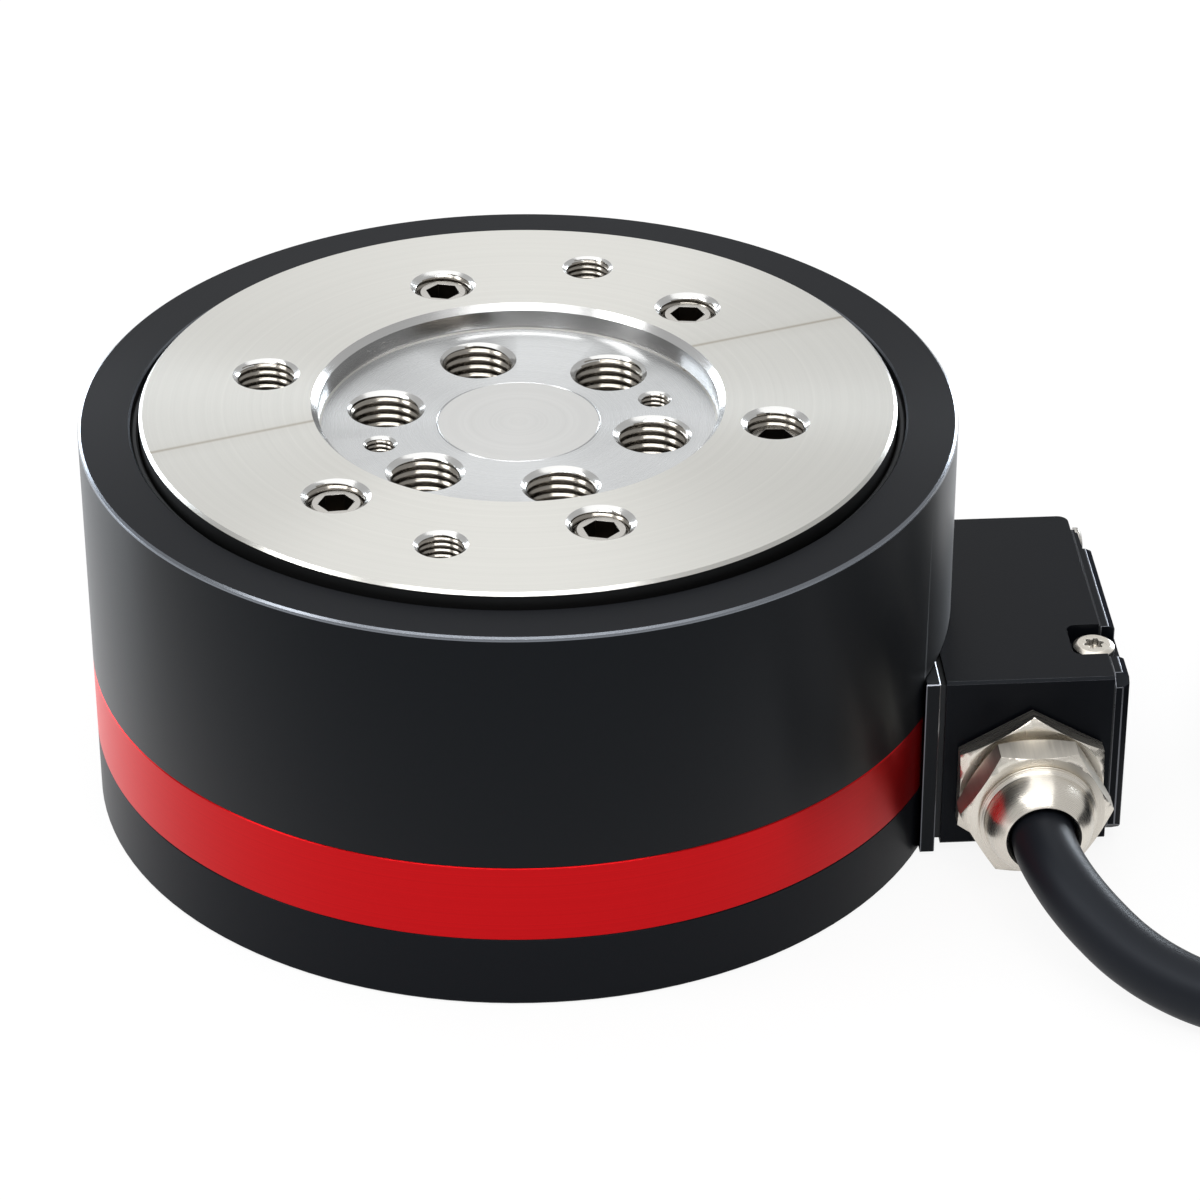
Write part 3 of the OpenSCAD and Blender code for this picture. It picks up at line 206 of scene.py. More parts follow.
def new_object(name, bm):
    mesh = bpy.data.meshes.new(name)
    bm.to_mesh(mesh)
    bm.free()
    return linked(name, mesh)


# ------------------------------------------------------------------ node helpers

def feed(tree, socket, value):
    """Sets a socket to a number, or links it to another node's output."""
    if isinstance(value, (int, float)):
        socket.default_value = value
    else:
        tree.links.new(value, socket)


def math_node(tree, operation, a, b=None, c=None, clamp=False):
    node = tree.nodes.new("ShaderNodeMath")
    node.operation = operation
    node.use_clamp = clamp
    for socket, value in zip(node.inputs, (a, b, c)):
        if value is not None:
            feed(tree, socket, value)
    return node.outputs[0]


def combine(tree, x=0.0, y=0.0, z=0.0):
    node = tree.nodes.new("ShaderNodeCombineXYZ")
    for socket, value in zip(node.inputs, (x, y, z)):
        feed(tree, socket, value)
    return node.outputs[0]


def object_axes(tree):
    coordinates = tree.nodes.new("ShaderNodeTexCoord")
    split = tree.nodes.new("ShaderNodeSeparateXYZ")
    tree.links.new(coordinates.outputs["Object"], split.inputs[0])
    return coordinates.outputs["Object"], split.outputs


def noise(tree, vector, scale, detail, roughness=0.5):
    node = tree.nodes.new("ShaderNodeTexNoise")
    node.inputs["Scale"].default_value = scale
    node.inputs["Detail"].default_value = detail
    node.inputs["Roughness"].default_value = roughness
    tree.links.new(vector, node.inputs["Vector"])
    return node.outputs["Fac"]


def ramp(tree, value, low, high):
    """Maps 0..1 to low..high."""
    node = tree.nodes.new("ShaderNodeMapRange")
    node.inputs["To Min"].default_value = low
    node.inputs["To Max"].default_value = high
    tree.links.new(value, node.inputs["Value"])
    return node.outputs["Result"]


def colour_mix(tree, factor, a, b):
    """Mixes two colours, each a triple or another node's output."""
    node = tree.nodes.new("ShaderNodeMix")
    node.data_type = "RGBA"
    for socket, colour in (("A", a), ("B", b)):
        if isinstance(colour, bpy.types.NodeSocket):
            tree.links.new(colour, node.inputs[socket])
        else:
            node.inputs[socket].default_value = (*colour, 1)
    tree.links.new(factor, node.inputs["Factor"])
    return node.outputs["Result"]


def bump(tree, height, strength, distance):
    node = tree.nodes.new("ShaderNodeBump")
    node.inputs["Strength"].default_value = strength
    node.inputs["Distance"].default_value = distance
    tree.links.new(height, node.inputs["Height"])
    return node.outputs["Normal"]


def new_material(name, colour, roughness, metallic=0.0, specular=0.5):
    material = bpy.data.materials.new(name)
    material.use_nodes = True
    shader = material.node_tree.nodes["Principled BSDF"]
    shader.inputs["Base Color"].default_value = (*colour, 1)
    shader.inputs["Roughness"].default_value = roughness
    shader.inputs["Metallic"].default_value = metallic
    shader.inputs["Specular IOR Level"].default_value = specular
    return material, material.node_tree, shader


# ------------------------------------------------------------------ finishes

COOL = (0.84, 0.91, 1.0)
FINE_RELIEF = 0.00002
SOFT_RELIEF = 0.00003


def tint_gloss(shader, share=1.0):
    """A cool tone for the gloss; a small share dims it straight on but not at a grazing view."""
    shader.inputs["Specular Tint"].default_value = (*(share * tone for tone in COOL), 1)


def mark(tree, shader, marks, low, high, strength, relief=FINE_RELIEF):
    """Lets marks vary the roughness from low to high and stand a little off the surface."""
    tree.links.new(ramp(tree, marks, low, high), shader.inputs["Roughness"])
    tree.links.new(bump(tree, marks, strength, relief), shader.inputs["Normal"])


def even_grain(tree, scale, detail=3.0, roughness=0.6):
    place, _ = object_axes(tree)
    return noise(tree, place, scale, detail, roughness)


def turned_lines(tree, scale):
    """A value that changes only with the distance from the axis and the height, like tool marks."""
    _, (x, y, z) = object_axes(tree)
    squares = math_node(tree, "ADD", math_node(tree, "MULTIPLY", x, x), math_node(tree, "MULTIPLY", y, y))
    radius = math_node(tree, "SQRT", squares)
    return noise(tree, combine(tree, radius, 0.0, z), scale, 3.0, 0.7)


def along_the_turning(tree, shader, strength):
    """Stretches highlights across the turned lines, which run round the Z axis."""
    shader.inputs["Anisotropic"].default_value = strength
    shader.inputs["Anisotropic Rotation"].default_value = 0.25
    tangent = tree.nodes.new("ShaderNodeTangent")
    tangent.direction_type = "RADIAL"
    tangent.axis = "Z"
    tree.links.new(tangent.outputs[0], shader.inputs["Tangent"])


def turned_steel(name, colour, roughness, anisotropy, cross_line=False):
    """Steel faced on a lathe, in bands of slightly different tone with fine darker lines."""
    material, tree, shader = new_material(name, colour, roughness, 1.0)
    along_the_turning(tree, shader, anisotropy)
    mark(tree, shader, turned_lines(tree, 9000), roughness - 0.06, roughness + 0.08, 0.2)
    paler = [min(1, c * 1.05) for c in colour]
    tone = colour_mix(tree, turned_lines(tree, 900), [c * 0.93 for c in colour], paler)
    lines = math_node(tree, "MULTIPLY", ramp(tree, turned_lines(tree, 3200), -0.35, 0.6), 0.5, clamp=True)
    tone = colour_mix(tree, lines, tone, [c * 0.72 for c in colour])
    # Darkens the steel's tone along a line across the face, with a soft darker halo round it
    if cross_line:
        cross_line_tone = [c * share for c, share in zip(colour, (0.46, 0.40, 0.32))]
        tone = colour_mix(tree, cross_line_mask(tree), tone, cross_line_tone)
    tree.links.new(tone, shader.inputs["Base Color"])
    return material


def cross_line_mask(tree):
    """The faint darker line that crosses the face a little off its middle, with a soft darker halo."""
    place, (x, y, _) = object_axes(tree)
    slope = math.radians(CROSS_LINE_ANGLE)
    across = math_node(tree, "MULTIPLY_ADD", y, math.cos(slope), -CROSS_LINE_OFFSET)
    off = math_node(tree, "ABSOLUTE", math_node(tree, "MULTIPLY_ADD", x, -math.sin(slope), across))
    line = math_node(tree, "MULTIPLY_ADD", off, -1 / CROSS_LINE_HALF_WIDTH, 1.0, clamp=True)
    halo = math_node(tree, "MULTIPLY_ADD", off, -1 / CROSS_LINE_HALO, 1.0, clamp=True)
    patches = noise(tree, place, 60, 2.0)
    line = math_node(tree, "MULTIPLY", line, ramp(tree, patches, 0.5, 1.0))
    halo = math_node(tree, "MULTIPLY", halo, ramp(tree, patches, 0.0, 0.16))
    return math_node(tree, "MAXIMUM", line, halo)


def anodised(name, colour, roughness, gloss, line_strength):
    """The turned side of the housing: its gloss is weak straight on and full at a grazing view."""
    material, tree, shader = new_material(name, colour, roughness)
    tint_gloss(shader, gloss)
    along_the_turning(tree, shader, 0.88)
    mark(tree, shader, turned_lines(tree, 5000), roughness - 0.05, roughness + 0.05, line_strength)
    return material


def rim_anodised():
    """The flat rim of the shell, which throws back less light than its turned side."""
    material, tree, shader = new_material("rim_anodised", (0.0035, 0.004, 0.0055), 0.36, 0.0, 0.09)
    tint_gloss(shader)
    along_the_turning(tree, shader, 0.75)
    mark(tree, shader, turned_lines(tree, 5000), 0.31, 0.41, 0.1)
    return material


def red_anodised():
    material, tree, shader = new_material("red_anodised", (0.5, 0.003, 0.006), 0.34, 0.85, 0.3)
    along_the_turning(tree, shader, 0.8)
    fine = math_node(tree, "MULTIPLY", turned_lines(tree, 6000), 0.4)
    marks = math_node(tree, "MULTIPLY_ADD", turned_lines(tree, 2600), 0.6, fine)
    mark(tree, shader, marks, 0.26, 0.42, 0.3)
    tone = colour_mix(tree, marks, (0.30, 0.001, 0.002), (0.68, 0.006, 0.010))
    tree.links.new(tone, shader.inputs["Base Color"])
    return material


def fine_matt_black(name, colour, specular):
    material, tree, shader = new_material(name, colour, 0.34, 0.0, specular)
    tint_gloss(shader)
    mark(tree, shader, even_grain(tree, 2600, 2.0), 0.30, 0.42, 0.25, SOFT_RELIEF)
    return material


def bright_metal(name, colour, roughness):
    material, tree, shader = new_material(name, colour, roughness, 1.0)
    mark(tree, shader, even_grain(tree, 1500), roughness * 0.8, roughness * 1.3, 0.08)
    return material


def round_finish(name, colour, roughness, anisotropy, uv_map):
    """Turned metal round an axis of its own: each highlight is stretched along that axis."""
    material, tree, shader = new_material(name, colour, roughness, 1.0)
    shader.inputs["Anisotropic"].default_value = anisotropy
    tangent = tree.nodes.new("ShaderNodeTangent")
    tangent.direction_type = "UV_MAP"
    tangent.uv_map = uv_map
    tree.links.new(tangent.outputs[0], shader.inputs["Tangent"])
    around = tree.nodes.new("ShaderNodeUVMap")
    around.uv_map = uv_map
    marks = noise(tree, around.outputs[0], 4000, 3.0, 0.6)
    mark(tree, shader, marks, roughness * 0.75, roughness * 1.3, 0.12)
    return material


def drawn_nickel():
    """The flats of a hexagon bar, with its drawing marks along the gland's axis."""
    material, tree, shader = new_material("drawn_nickel", (0.70, 0.66, 0.59), 0.42, 1.0)
    _, (x, y, z) = object_axes(tree)
    streaks = noise(tree, combine(tree, x, math_node(tree, "MULTIPLY", y, 0.03), z), 3500, 2.0, 0.6)
    mark(tree, shader, streaks, 0.34, 0.52, 0.25)
    tone = colour_mix(tree, streaks, (0.60, 0.565, 0.51), (0.78, 0.74, 0.66))
    tree.links.new(tone, shader.inputs["Base Color"])
    return material


def soft_black(name, colour, roughness, grain_scale=1800, specular=0.4):
    material, tree, shader = new_material(name, colour, roughness, 0.0, specular)
    tint_gloss(shader)
    mark(tree, shader, even_grain(tree, grain_scale), roughness - 0.06, roughness + 0.06, 0.04, SOFT_RELIEF)
    return material


def plain_plastic(name, colour):
    material, tree, shader = new_material(name, colour, 0.5)
    mark(tree, shader, even_grain(tree, 1200, 2.0, 0.5), 0.42, 0.58, 0.1, SOFT_RELIEF)
    return material


FINISHES = {
    "black_anodised": anodised("black_anodised", (0.003, 0.0035, 0.0045), 0.34, 0.22, 0.10),
    "rim_anodised": rim_anodised(),
    "red_anodised": red_anodised(),
    "black_box": fine_matt_black("fine_matt_black", (0.003, 0.0035, 0.005), 0.085),
    "shaded_black": fine_matt_black("shaded_black", (0.014, 0.015, 0.019), 0.0),
    "stainless": turned_steel("turned_stainless", (0.585, 0.58, 0.55), 0.29, 0.86, cross_line=True),
    "recess_steel": turned_steel("recess_steel", (0.54, 0.55, 0.555), 0.26, 0.92),
    "centre_steel": turned_steel("centre_steel", (0.56, 0.56, 0.55), 0.34, 0.2),
    # Painted shade: the recess's wall is given a darker colour than the same steel on the face
    "shaded_bore_steel": turned_steel("shaded_bore_steel", (0.42, 0.415, 0.41), 0.14, 0.5),
    "chamfer_steel": turned_steel("chamfer_steel", (0.56, 0.56, 0.555), 0.17, 0.5),
    "shaded_steel": turned_steel("shaded_steel", (0.05, 0.05, 0.05), 0.35, 0.6),
    "bright_edge": turned_steel("bright_edge", (0.20, 0.215, 0.24), 0.24, 0.7),
    # Painted shade: the threads are the flange's own steel, painted darker and browner as shade down the
    # holes
    "shaded_thread_steel": round_finish("shaded_thread_steel", (0.30, 0.28, 0.25), 0.20, 0.6, "round_the_hole"),
    "mouth_steel": round_finish("mouth_steel", (0.60, 0.60, 0.59), 0.18, 0.5, "round_the_hole"),
    "turned_nickel": round_finish("turned_nickel", (0.72, 0.68, 0.61), 0.27, 0.75, "round_the_gland"),
    "drawn_nickel": drawn_nickel(),
    "nickel": bright_metal("nickel_plating", (0.72, 0.68, 0.61), 0.28),
    "screw_steel": bright_metal("screw_steel", (0.44, 0.425, 0.40), 0.25),
    # Painted shade: the insides of the set screws' sockets are painted much darker than the screws' steel
    "shaded_socket_steel": bright_metal("shaded_socket_steel", (0.10, 0.085, 0.07), 0.3),
    "worn_edge": bright_metal("worn_edge", (0.13, 0.135, 0.15), 0.28),
    "dark_steel": bright_metal("dark_steel", (0.10, 0.10, 0.11), 0.4),
    "bare_aluminium": bright_metal("bare_aluminium", (0.72, 0.72, 0.73), 0.35),
    "brass": bright_metal("brass", (0.8, 0.62, 0.3), 0.25),
    "rubber": soft_black("rubber", (0.015, 0.015, 0.015), 0.6),
    "cable_jacket": soft_black("cable_jacket", (0.007, 0.008, 0.011), 0.46, 3000, specular=0.2),
    "black_plastic": soft_black("black_plastic", (0.02, 0.02, 0.02), 0.5),
    "pale_plastic": plain_plastic("pale_plastic", (0.75, 0.72, 0.62)),
    "green_plastic": plain_plastic("green_plastic", (0.06, 0.28, 0.14)),
    "circuit_board": plain_plastic("circuit_board", (0.02, 0.16, 0.07)),
    "conductor": plain_plastic("conductor", (0.7, 0.65, 0.5)),
    "gauge_foil": plain_plastic("gauge_foil", (0.7, 0.42, 0.12)),
}


# ------------------------------------------------------------------ camera, light and stage

def add_camera():
    data = bpy.data.cameras.new("camera")
    data.lens = LENS_MM
    data.sensor_width = SENSOR_MM
    data.clip_start = 0.01
    camera = linked("camera", data)
    turn = Matrix.Rotation(math.radians(CAMERA_TURN), 4, "Z")
    tilt = Matrix.Rotation(math.radians(CAMERA_TILT), 4, "X")
    roll = Matrix.Rotation(math.radians(CAMERA_ROLL), 4, "Z")
    camera.matrix_world = Matrix.Translation(CAMERA_PLACE) @ turn @ tilt @ roll
    bpy.context.scene.camera = camera


def white_source(tree, kind, strength):
    node = tree.nodes.new(kind)
    node.inputs["Color"].default_value = (1, 1, 1, 1)
    node.inputs["Strength"].default_value = strength
    return node


def backdrop(tree, lit, seen, by_eye, in_gloss):
    """Shows seen to the camera, through glass and in gloss, by these shares, and lit to all other rays."""
    path = tree.nodes.new("ShaderNodeLightPath")
    first = math_node(tree, "MAXIMUM", path.outputs["Is Camera Ray"], path.outputs["Is Transmission Ray"])
    eye = math_node(tree, "MULTIPLY", first, by_eye)
    gloss = math_node(tree, "MULTIPLY", path.outputs["Is Glossy Ray"], in_gloss)
    mix = tree.nodes.new("ShaderNodeMixShader")
    tree.links.new(math_node(tree, "MAXIMUM", eye, gloss), mix.inputs[0])
    tree.links.new(lit.outputs[0], mix.inputs[1])
    tree.links.new(seen.outputs[0], mix.inputs[2])
    return mix.outputs[0]


def add_world():
    bpy.context.scene.view_settings.view_transform = "Standard"
    world = bpy.data.worlds.new("studio")
    bpy.context.scene.world = world
    world.use_nodes = True
    tree = world.node_tree
    tree.nodes.clear()
    lit = white_source(tree, "ShaderNodeBackground", 0.5)
    seen = white_source(tree, "ShaderNodeBackground", 1.0)
    out = tree.nodes.new("ShaderNodeOutputWorld")
    tree.links.new(backdrop(tree, lit, seen, 1.0, 0.3), out.inputs["Surface"])


def add_floor():
    bm = bmesh.new()
    bmesh.ops.create_grid(bm, x_segments=1, y_segments=1, size=FLOOR_REACH)
    floor = new_object("floor", bm)
    material = bpy.data.materials.new("pale_floor")
    material.use_nodes = True
    tree = material.node_tree
    tree.nodes.clear()
    paper = tree.nodes.new("ShaderNodeBsdfDiffuse")
    paper.inputs["Color"].default_value = (0.96, 0.96, 0.96, 1)
    glow = white_source(tree, "ShaderNodeEmission", 1.0)
    out = tree.nodes.new("ShaderNodeOutputMaterial")
    tree.links.new(backdrop(tree, paper, glow, 0.90, 0.5), out.inputs["Surface"])
    floor.data.materials.append(material)


def add_lamp(name, place, size, power, colour):
    data = bpy.data.lights.new(name, "AREA")
    data.shape = "RECTANGLE"
    data.size, data.size_y = size
    data.energy = power
    data.color = colour
    lamp = linked(name, data)
    lamp.location = place
    lamp.rotation_euler = (LAMP_AIM - Vector(place)).to_track_quat("-Z", "Y").to_euler()
    lamp.visible_camera = False


# ------------------------------------------------------------------ mesh helpers

def plain(piece):
    """Replaces a piece's mesh by the one that its modifiers make."""
    bpy.context.view_layer.update()
    evaluated = piece.evaluated_get(bpy.context.evaluated_depsgraph_get())
    mesh = bpy.data.meshes.new_from_object(evaluated)
    piece.modifiers.clear()
    old = piece.data
    piece.data = mesh
    bpy.data.meshes.remove(old)
    return piece


def cut(piece, cutters):
    """Takes the cutters' volume out of a piece."""
    for cutter in cutters:
        modifier = piece.modifiers.new("cut", "BOOLEAN")
        modifier.operation = "DIFFERENCE"
        modifier.solver = "EXACT"
        modifier.object = cutter
    plain(piece)
    for cutter in cutters:
        bpy.data.objects.remove(cutter)


U_PER_RADIUS = 0.6
V_PER_RADIAN = 0.0002


def mark_round(piece, axis, centre, name):
    """A UV map whose U runs along an axis and outwards from it, and whose V runs round it."""
    across = [i for i in range(3) if i != axis]
    layer = piece.data.uv_layers.new(name=name)
    for face in piece.data.polygons:
        middle = [face.center[i] - c for i, c in zip(across, centre)]
        facing = math.atan2(middle[1], middle[0])
        for corner in face.loop_indices:
            place = piece.data.vertices[piece.data.loops[corner].vertex_index].co
            x, y = [place[i] - c for i, c in zip(across, centre)]
            turn = math.atan2(y, x) if math.hypot(x, y) > 1e-6 else facing
            turn += 2 * math.pi * round((facing - turn) / (2 * math.pi))
            layer.data[corner].uv = (place[axis] + U_PER_RADIUS * math.hypot(x, y), turn * V_PER_RADIAN)


def paint_where(piece, finish, chosen):
    """Gives the faces that chosen picks by their centre and normal another finish."""
    piece.data.materials.append(FINISHES[finish])
    index = len(piece.data.materials) - 1
    for face in piece.data.polygons:
        if chosen(face.center, face.normal):
            face.material_index = index


def finish_piece(piece, slot, *replaced, angle=30, finish=None):
    """Gives a piece its finish, lets it stand for CAD nodes and carries it on the sensor's body."""
    piece.data.shade_smooth()
    piece.data.set_sharp_from_angle(angle=math.radians(angle))
    piece.data.materials.clear()
    piece.data.materials.append(FINISHES[finish or slot])
    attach(piece, "root")
    if replaced:
        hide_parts(*replaced)
    return piece


def revolve(name, outline, segments=288):
    """Turns a closed outline of (radius, height) points round the Z axis."""
    bm = bmesh.new()
    rings = []
    turn = [2 * math.pi * i / segments for i in range(segments)]
    for radius, height in outline:
        angles = turn if radius > 0 else [0.0]
        rings.append([bm.verts.new(polar(radius, angle, height)) for angle in angles])
    for here, there in zip(rings, rings[1:] + rings[:1]):
        if len(here) == 1 and len(there) == 1:
            continue
        for i in range(segments):
            j = (i + 1) % segments
            corners = [
                here[i % len(here)], here[j % len(here)], there[j % len(there)], there[i % len(there)],
            ]
            bm.faces.new(list(dict.fromkeys(corners)))
    bmesh.ops.recalc_face_normals(bm, faces=bm.faces)
    return new_object(name, bm)


def skin(bm, rings):
    """Joins rings with as many vertices each into a tube whose last ring meets its first."""
    for here, there in zip(rings, rings[1:] + rings[:1]):
        for i in range(len(here)):
            j = (i + 1) % len(here)
            bm.faces.new((here[i], here[j], there[j], there[i]))
    bmesh.ops.recalc_face_normals(bm, faces=bm.faces)


def refined(node, slot):
    """A copy of a CAD node with its doubles merged, its flats joined and its edges broken."""
    bevel = BROKEN_EDGES[node]
    edge = EDGE_FINISHES.get(node)
    piece = linked(node + "_finished", nodes[node].data.copy())
    bm = bmesh.new()
    bm.from_mesh(piece.data)
    bmesh.ops.remove_doubles(bm, verts=bm.verts, dist=1e-6)
    bmesh.ops.dissolve_limit(bm, angle_limit=math.radians(0.6), verts=bm.verts, edges=bm.edges)
    bm.to_mesh(piece.data)
    bm.free()
    if bevel:
        modifier = piece.modifiers.new("broken_edges", "BEVEL")
        modifier.width = bevel
        modifier.segments = 1 if edge else 2
        modifier.limit_method = "ANGLE"
        modifier.angle_limit = math.radians(35)
        modifier.use_clamp_overlap = True
        piece.data.materials.clear()
        piece.data.materials.append(FINISHES[slot])
        piece.data.materials.append(FINISHES[edge or slot])
        modifier.material = 1
        plain(piece)
        broken = [face.material_index for face in piece.data.polygons]
        even = piece.modifiers.new("flat_faces", "WEIGHTED_NORMAL")
        even.weight = 100
        even.keep_sharp = True
    finish_piece(piece, slot, node, angle=50 if bevel and not edge else 30)
    if edge:
        piece.data.materials.append(FINISHES[edge])
        piece.data.polygons.foreach_set("material_index", broken)
    if bevel:
        plain(piece)
    return piece


# ------------------------------------------------------------------ repeats

def round_pattern_tree():
    """A node tree that sets turned copies of an object on a circle round the Z axis."""
    tree = bpy.data.node_groups.new("round_pattern", "GeometryNodeTree")
    inputs = (
        ("Geometry", "Geometry"), ("Source", "Object"), ("Count", "Int"),
        ("Radius", "Float"), ("First Angle", "Float"), ("Material", "Material"),
    )
    for name, kind in inputs:
        tree.interface.new_socket(name, in_out="INPUT", socket_type="NodeSocket" + kind)
    tree.interface.new_socket("Geometry", in_out="OUTPUT", socket_type="NodeSocketGeometry")
    given = tree.nodes.new("NodeGroupInput")
    index = tree.nodes.new("GeometryNodeInputIndex")
    step = math_node(tree, "DIVIDE", 2 * math.pi, given.outputs["Count"])
    angle = math_node(tree, "MULTIPLY_ADD", index.outputs[0], step, given.outputs["First Angle"])
    x = math_node(tree, "MULTIPLY", math_node(tree, "COSINE", angle), given.outputs["Radius"])
    y = math_node(tree, "MULTIPLY", math_node(tree, "SINE", angle), given.outputs["Radius"])
    points = tree.nodes.new("GeometryNodePoints")
    tree.links.new(given.outputs["Count"], points.inputs["Count"])
    tree.links.new(combine(tree, x, y, 0.0), points.inputs["Position"])
    source = tree.nodes.new("GeometryNodeObjectInfo")
    tree.links.new(given.outputs["Source"], source.inputs["Object"])
    copies = tree.nodes.new("GeometryNodeInstanceOnPoints")
    tree.links.new(points.outputs[0], copies.inputs["Points"])
    tree.links.new(source.outputs["Geometry"], copies.inputs["Instance"])
    tree.links.new(combine(tree, 0.0, 0.0, angle), copies.inputs["Rotation"])
    real = tree.nodes.new("GeometryNodeRealizeInstances")
    tree.links.new(copies.outputs[0], real.inputs[0])
    paint = tree.nodes.new("GeometryNodeSetMaterial")
    tree.links.new(real.outputs[0], paint.inputs["Geometry"])
    tree.links.new(given.outputs["Material"], paint.inputs["Material"])
    out = tree.nodes.new("NodeGroupOutput")
    tree.links.new(paint.outputs[0], out.inputs[0])
    return tree


ROUND_PATTERN = round_pattern_tree()


def repeated_round(name, source, count, radius, first_angle, finish):
    """Sets copies of a piece made at the origin on a circle and joins them into one plain mesh."""
    piece = linked(name, bpy.data.meshes.new(name))
    modifier = piece.modifiers.new("pattern", "NODES")
    modifier.node_group = ROUND_PATTERN
    values = {
        "Source": source,
        "Count": count,
        "Radius": radius,
        "First Angle": math.radians(first_angle),
        "Material": FINISHES[finish],
    }
    for item in ROUND_PATTERN.interface.items_tree:
        if item.in_out == "INPUT" and item.name in values:
            modifier[item.identifier] = values[item.name]
    plain(piece)
    bpy.data.objects.remove(source)
    return piece


# ------------------------------------------------------------------ housing

def seat_cutter():
    """A block that mills the flat for the side box, open outwards, downwards and towards the gland."""
    low = Vector((SEAT_X, -0.09, -0.01))
    high = Vector((0.09, SEAT_END_Y, SEAT_TOP))
    bm = bmesh.new()
    bmesh.ops.create_cube(bm, size=1)
    bmesh.ops.scale(bm, vec=high - low, verts=bm.verts)
    bmesh.ops.translate(bm, vec=(high + low) / 2, verts=bm.verts)
    return new_object("cutter", bm)


def add_accent_ring():
    edge = 0.00015
    ring = revolve("red_ring", [
        (SHELL_FOOT_R, BASE_TOP), (BODY_R - edge, BASE_TOP), (BODY_R, BASE_TOP + edge),
        (BODY_R, BAND_TOP - edge), (BODY_R - edge, BAND_TOP), (SHELL_FOOT_R, BAND_TOP),
    ])
    cut(ring, [seat_cutter()])
    finish_piece(ring, "red_anodised", "accent_ring")


def add_shell():
    edge = 0.0002
    lip_edge = 0.0003
    shell = revolve("shell", [
        (SHELL_FOOT_R, BAND_TOP), (BODY_R - edge, BAND_TOP), (BODY_R, BAND_TOP + edge),
        (BODY_R, SHELL_TOP - 0.0006), (BODY_R - 0.00015, SHELL_TOP - 0.00025),
        (BODY_R - 0.0005, SHELL_TOP), (LIP_R + lip_edge, SHELL_TOP), (LIP_R, SHELL_TOP - lip_edge),
        (LIP_R, LIP_BOTTOM), (SHELL_INSIDE_R, LIP_ROOT), (SHELL_INSIDE_R, SHELL_FOOT_TOP),
        (SHELL_FOOT_R, SHELL_FOOT_TOP),
    ])
    cut(shell, [seat_cutter()])
    finish_piece(shell, "black_anodised", "upper_shell")
    paint_where(shell, "rim_anodised", lambda c, n: n.z > 0.98)
    paint_where(shell, "bright_edge", lambda c, n: 0.2 < n.z < 0.97 and c.z > SHELL_TOP - 0.0007)


# ------------------------------------------------------------------ tool flange

def hole_places(hole):
    for i in range(hole["count"]):
        yield polar(hole["ring_r"], math.radians(hole["first"] + 360 / hole["count"] * i))


def hole_cutters(hole):
    """Straight cutters that leave room for the threaded sleeves and for the point below a blind one."""
    radius = hole["bore"] + hole["chamfer"]
    low = hole["bottom"] - (CUT_BELOW_THROUGH if hole["through"] else CUT_BELOW_BLIND)
    high = hole["mouth"] + CUT_ABOVE
    for place in hole_places(hole):
        bm = bmesh.new()
        bmesh.ops.create_cone(
            bm, cap_ends=True, segments=72, radius1=radius, radius2=radius, depth=high - low,
        )
        bmesh.ops.translate(bm, vec=place + Vector((0, 0, (low + high) / 2)), verts=bm.verts)
        yield new_object("cutter", bm)


def threaded_liner(hole):
    """A closed sleeve round a tapped hole, with a helical thread that runs out into the mouth's chamfer."""
    mouth, bottom, bore, pitch = hole["mouth"], hole["bottom"], hole["bore"], hole["pitch"]
    outer = bore + hole["chamfer"]
    steps = 64
    turns = math.ceil((mouth - bottom) / pitch) + 2
    circle = [2 * math.pi * i / steps for i in range(steps + 1)]
    bm = bmesh.new()
    rows = [[bm.verts.new(polar(outer, angle, bottom)) for angle in circle]]
    for turn in range(turns):
        for share, deep in THREAD_FORM:
            wall_r = bore + hole["depth"] * THREAD_CUT * deep
            row = []
            for i, angle in enumerate(circle):
                z = min(max(bottom + pitch * (turn - 1 + share + i / steps), bottom), mouth)
                radius = max(wall_r, outer - MOUTH_SLOPE * (mouth - z))
                row.append(bm.verts.new(polar(radius, angle, z)))
            rows.append(row)
    for here, there in zip(rows, rows[1:] + rows[:1]):
        for i in range(steps):
            bm.faces.new((here[i], there[i], there[i + 1], here[i + 1]))
    if not hole["through"]:
        tip = bm.verts.new((0, 0, bottom - bore * 0.5))
        rim = [bm.verts.new(polar(outer, angle, bottom - 1e-5)) for angle in circle[:-1]]
        for i in range(steps):
            bm.faces.new((tip, rim[i], rim[(i + 1) % steps]))
    bmesh.ops.remove_doubles(bm, verts=bm.verts, dist=2e-7)
    bmesh.ops.dissolve_degenerate(bm, edges=bm.edges, dist=1e-8)
    liner = new_object("liner", bm)
    mark_round(liner, 2, (0, 0), "round_the_hole")
    return liner


def up_to_recess_floor(c):
    """On the floor of the recess or in the holes below it."""
    return FLANGE_Z + FLANGE_EDGE < c.z < RECESS_Z + 0.00001


def inside_recess(c):
    """Above the floor of the recess, out to its mouth's chamfer."""
    return RECESS_Z < c.z and away(c) < RECESS_R + 0.0015


def at_recess_mouth(c):
    return inside_recess(c) and TOOL_Z - RECESS_MOUTH < c.z


# Regions of the tool flange, each painted over the ones before it
FLANGE_REGIONS = (
    ("shaded_steel", lambda c, n: away(c) > FLANGE_R - 0.00045 and c.z < TOOL_Z - 0.0006),
    ("recess_steel", lambda c, n: up_to_recess_floor(c) and n.z > 0.5),
    ("centre_steel", lambda c, n: up_to_recess_floor(c) and away(c) < GROOVE_R - GROOVE_HALF),
    # The recess's wall, painted darker as shade inside the recess
    ("shaded_bore_steel", lambda c, n: inside_recess(c) and abs(n.z) < 0.9),
    ("chamfer_steel", lambda c, n: at_recess_mouth(c) and 0.3 < n.z < 0.9),
)


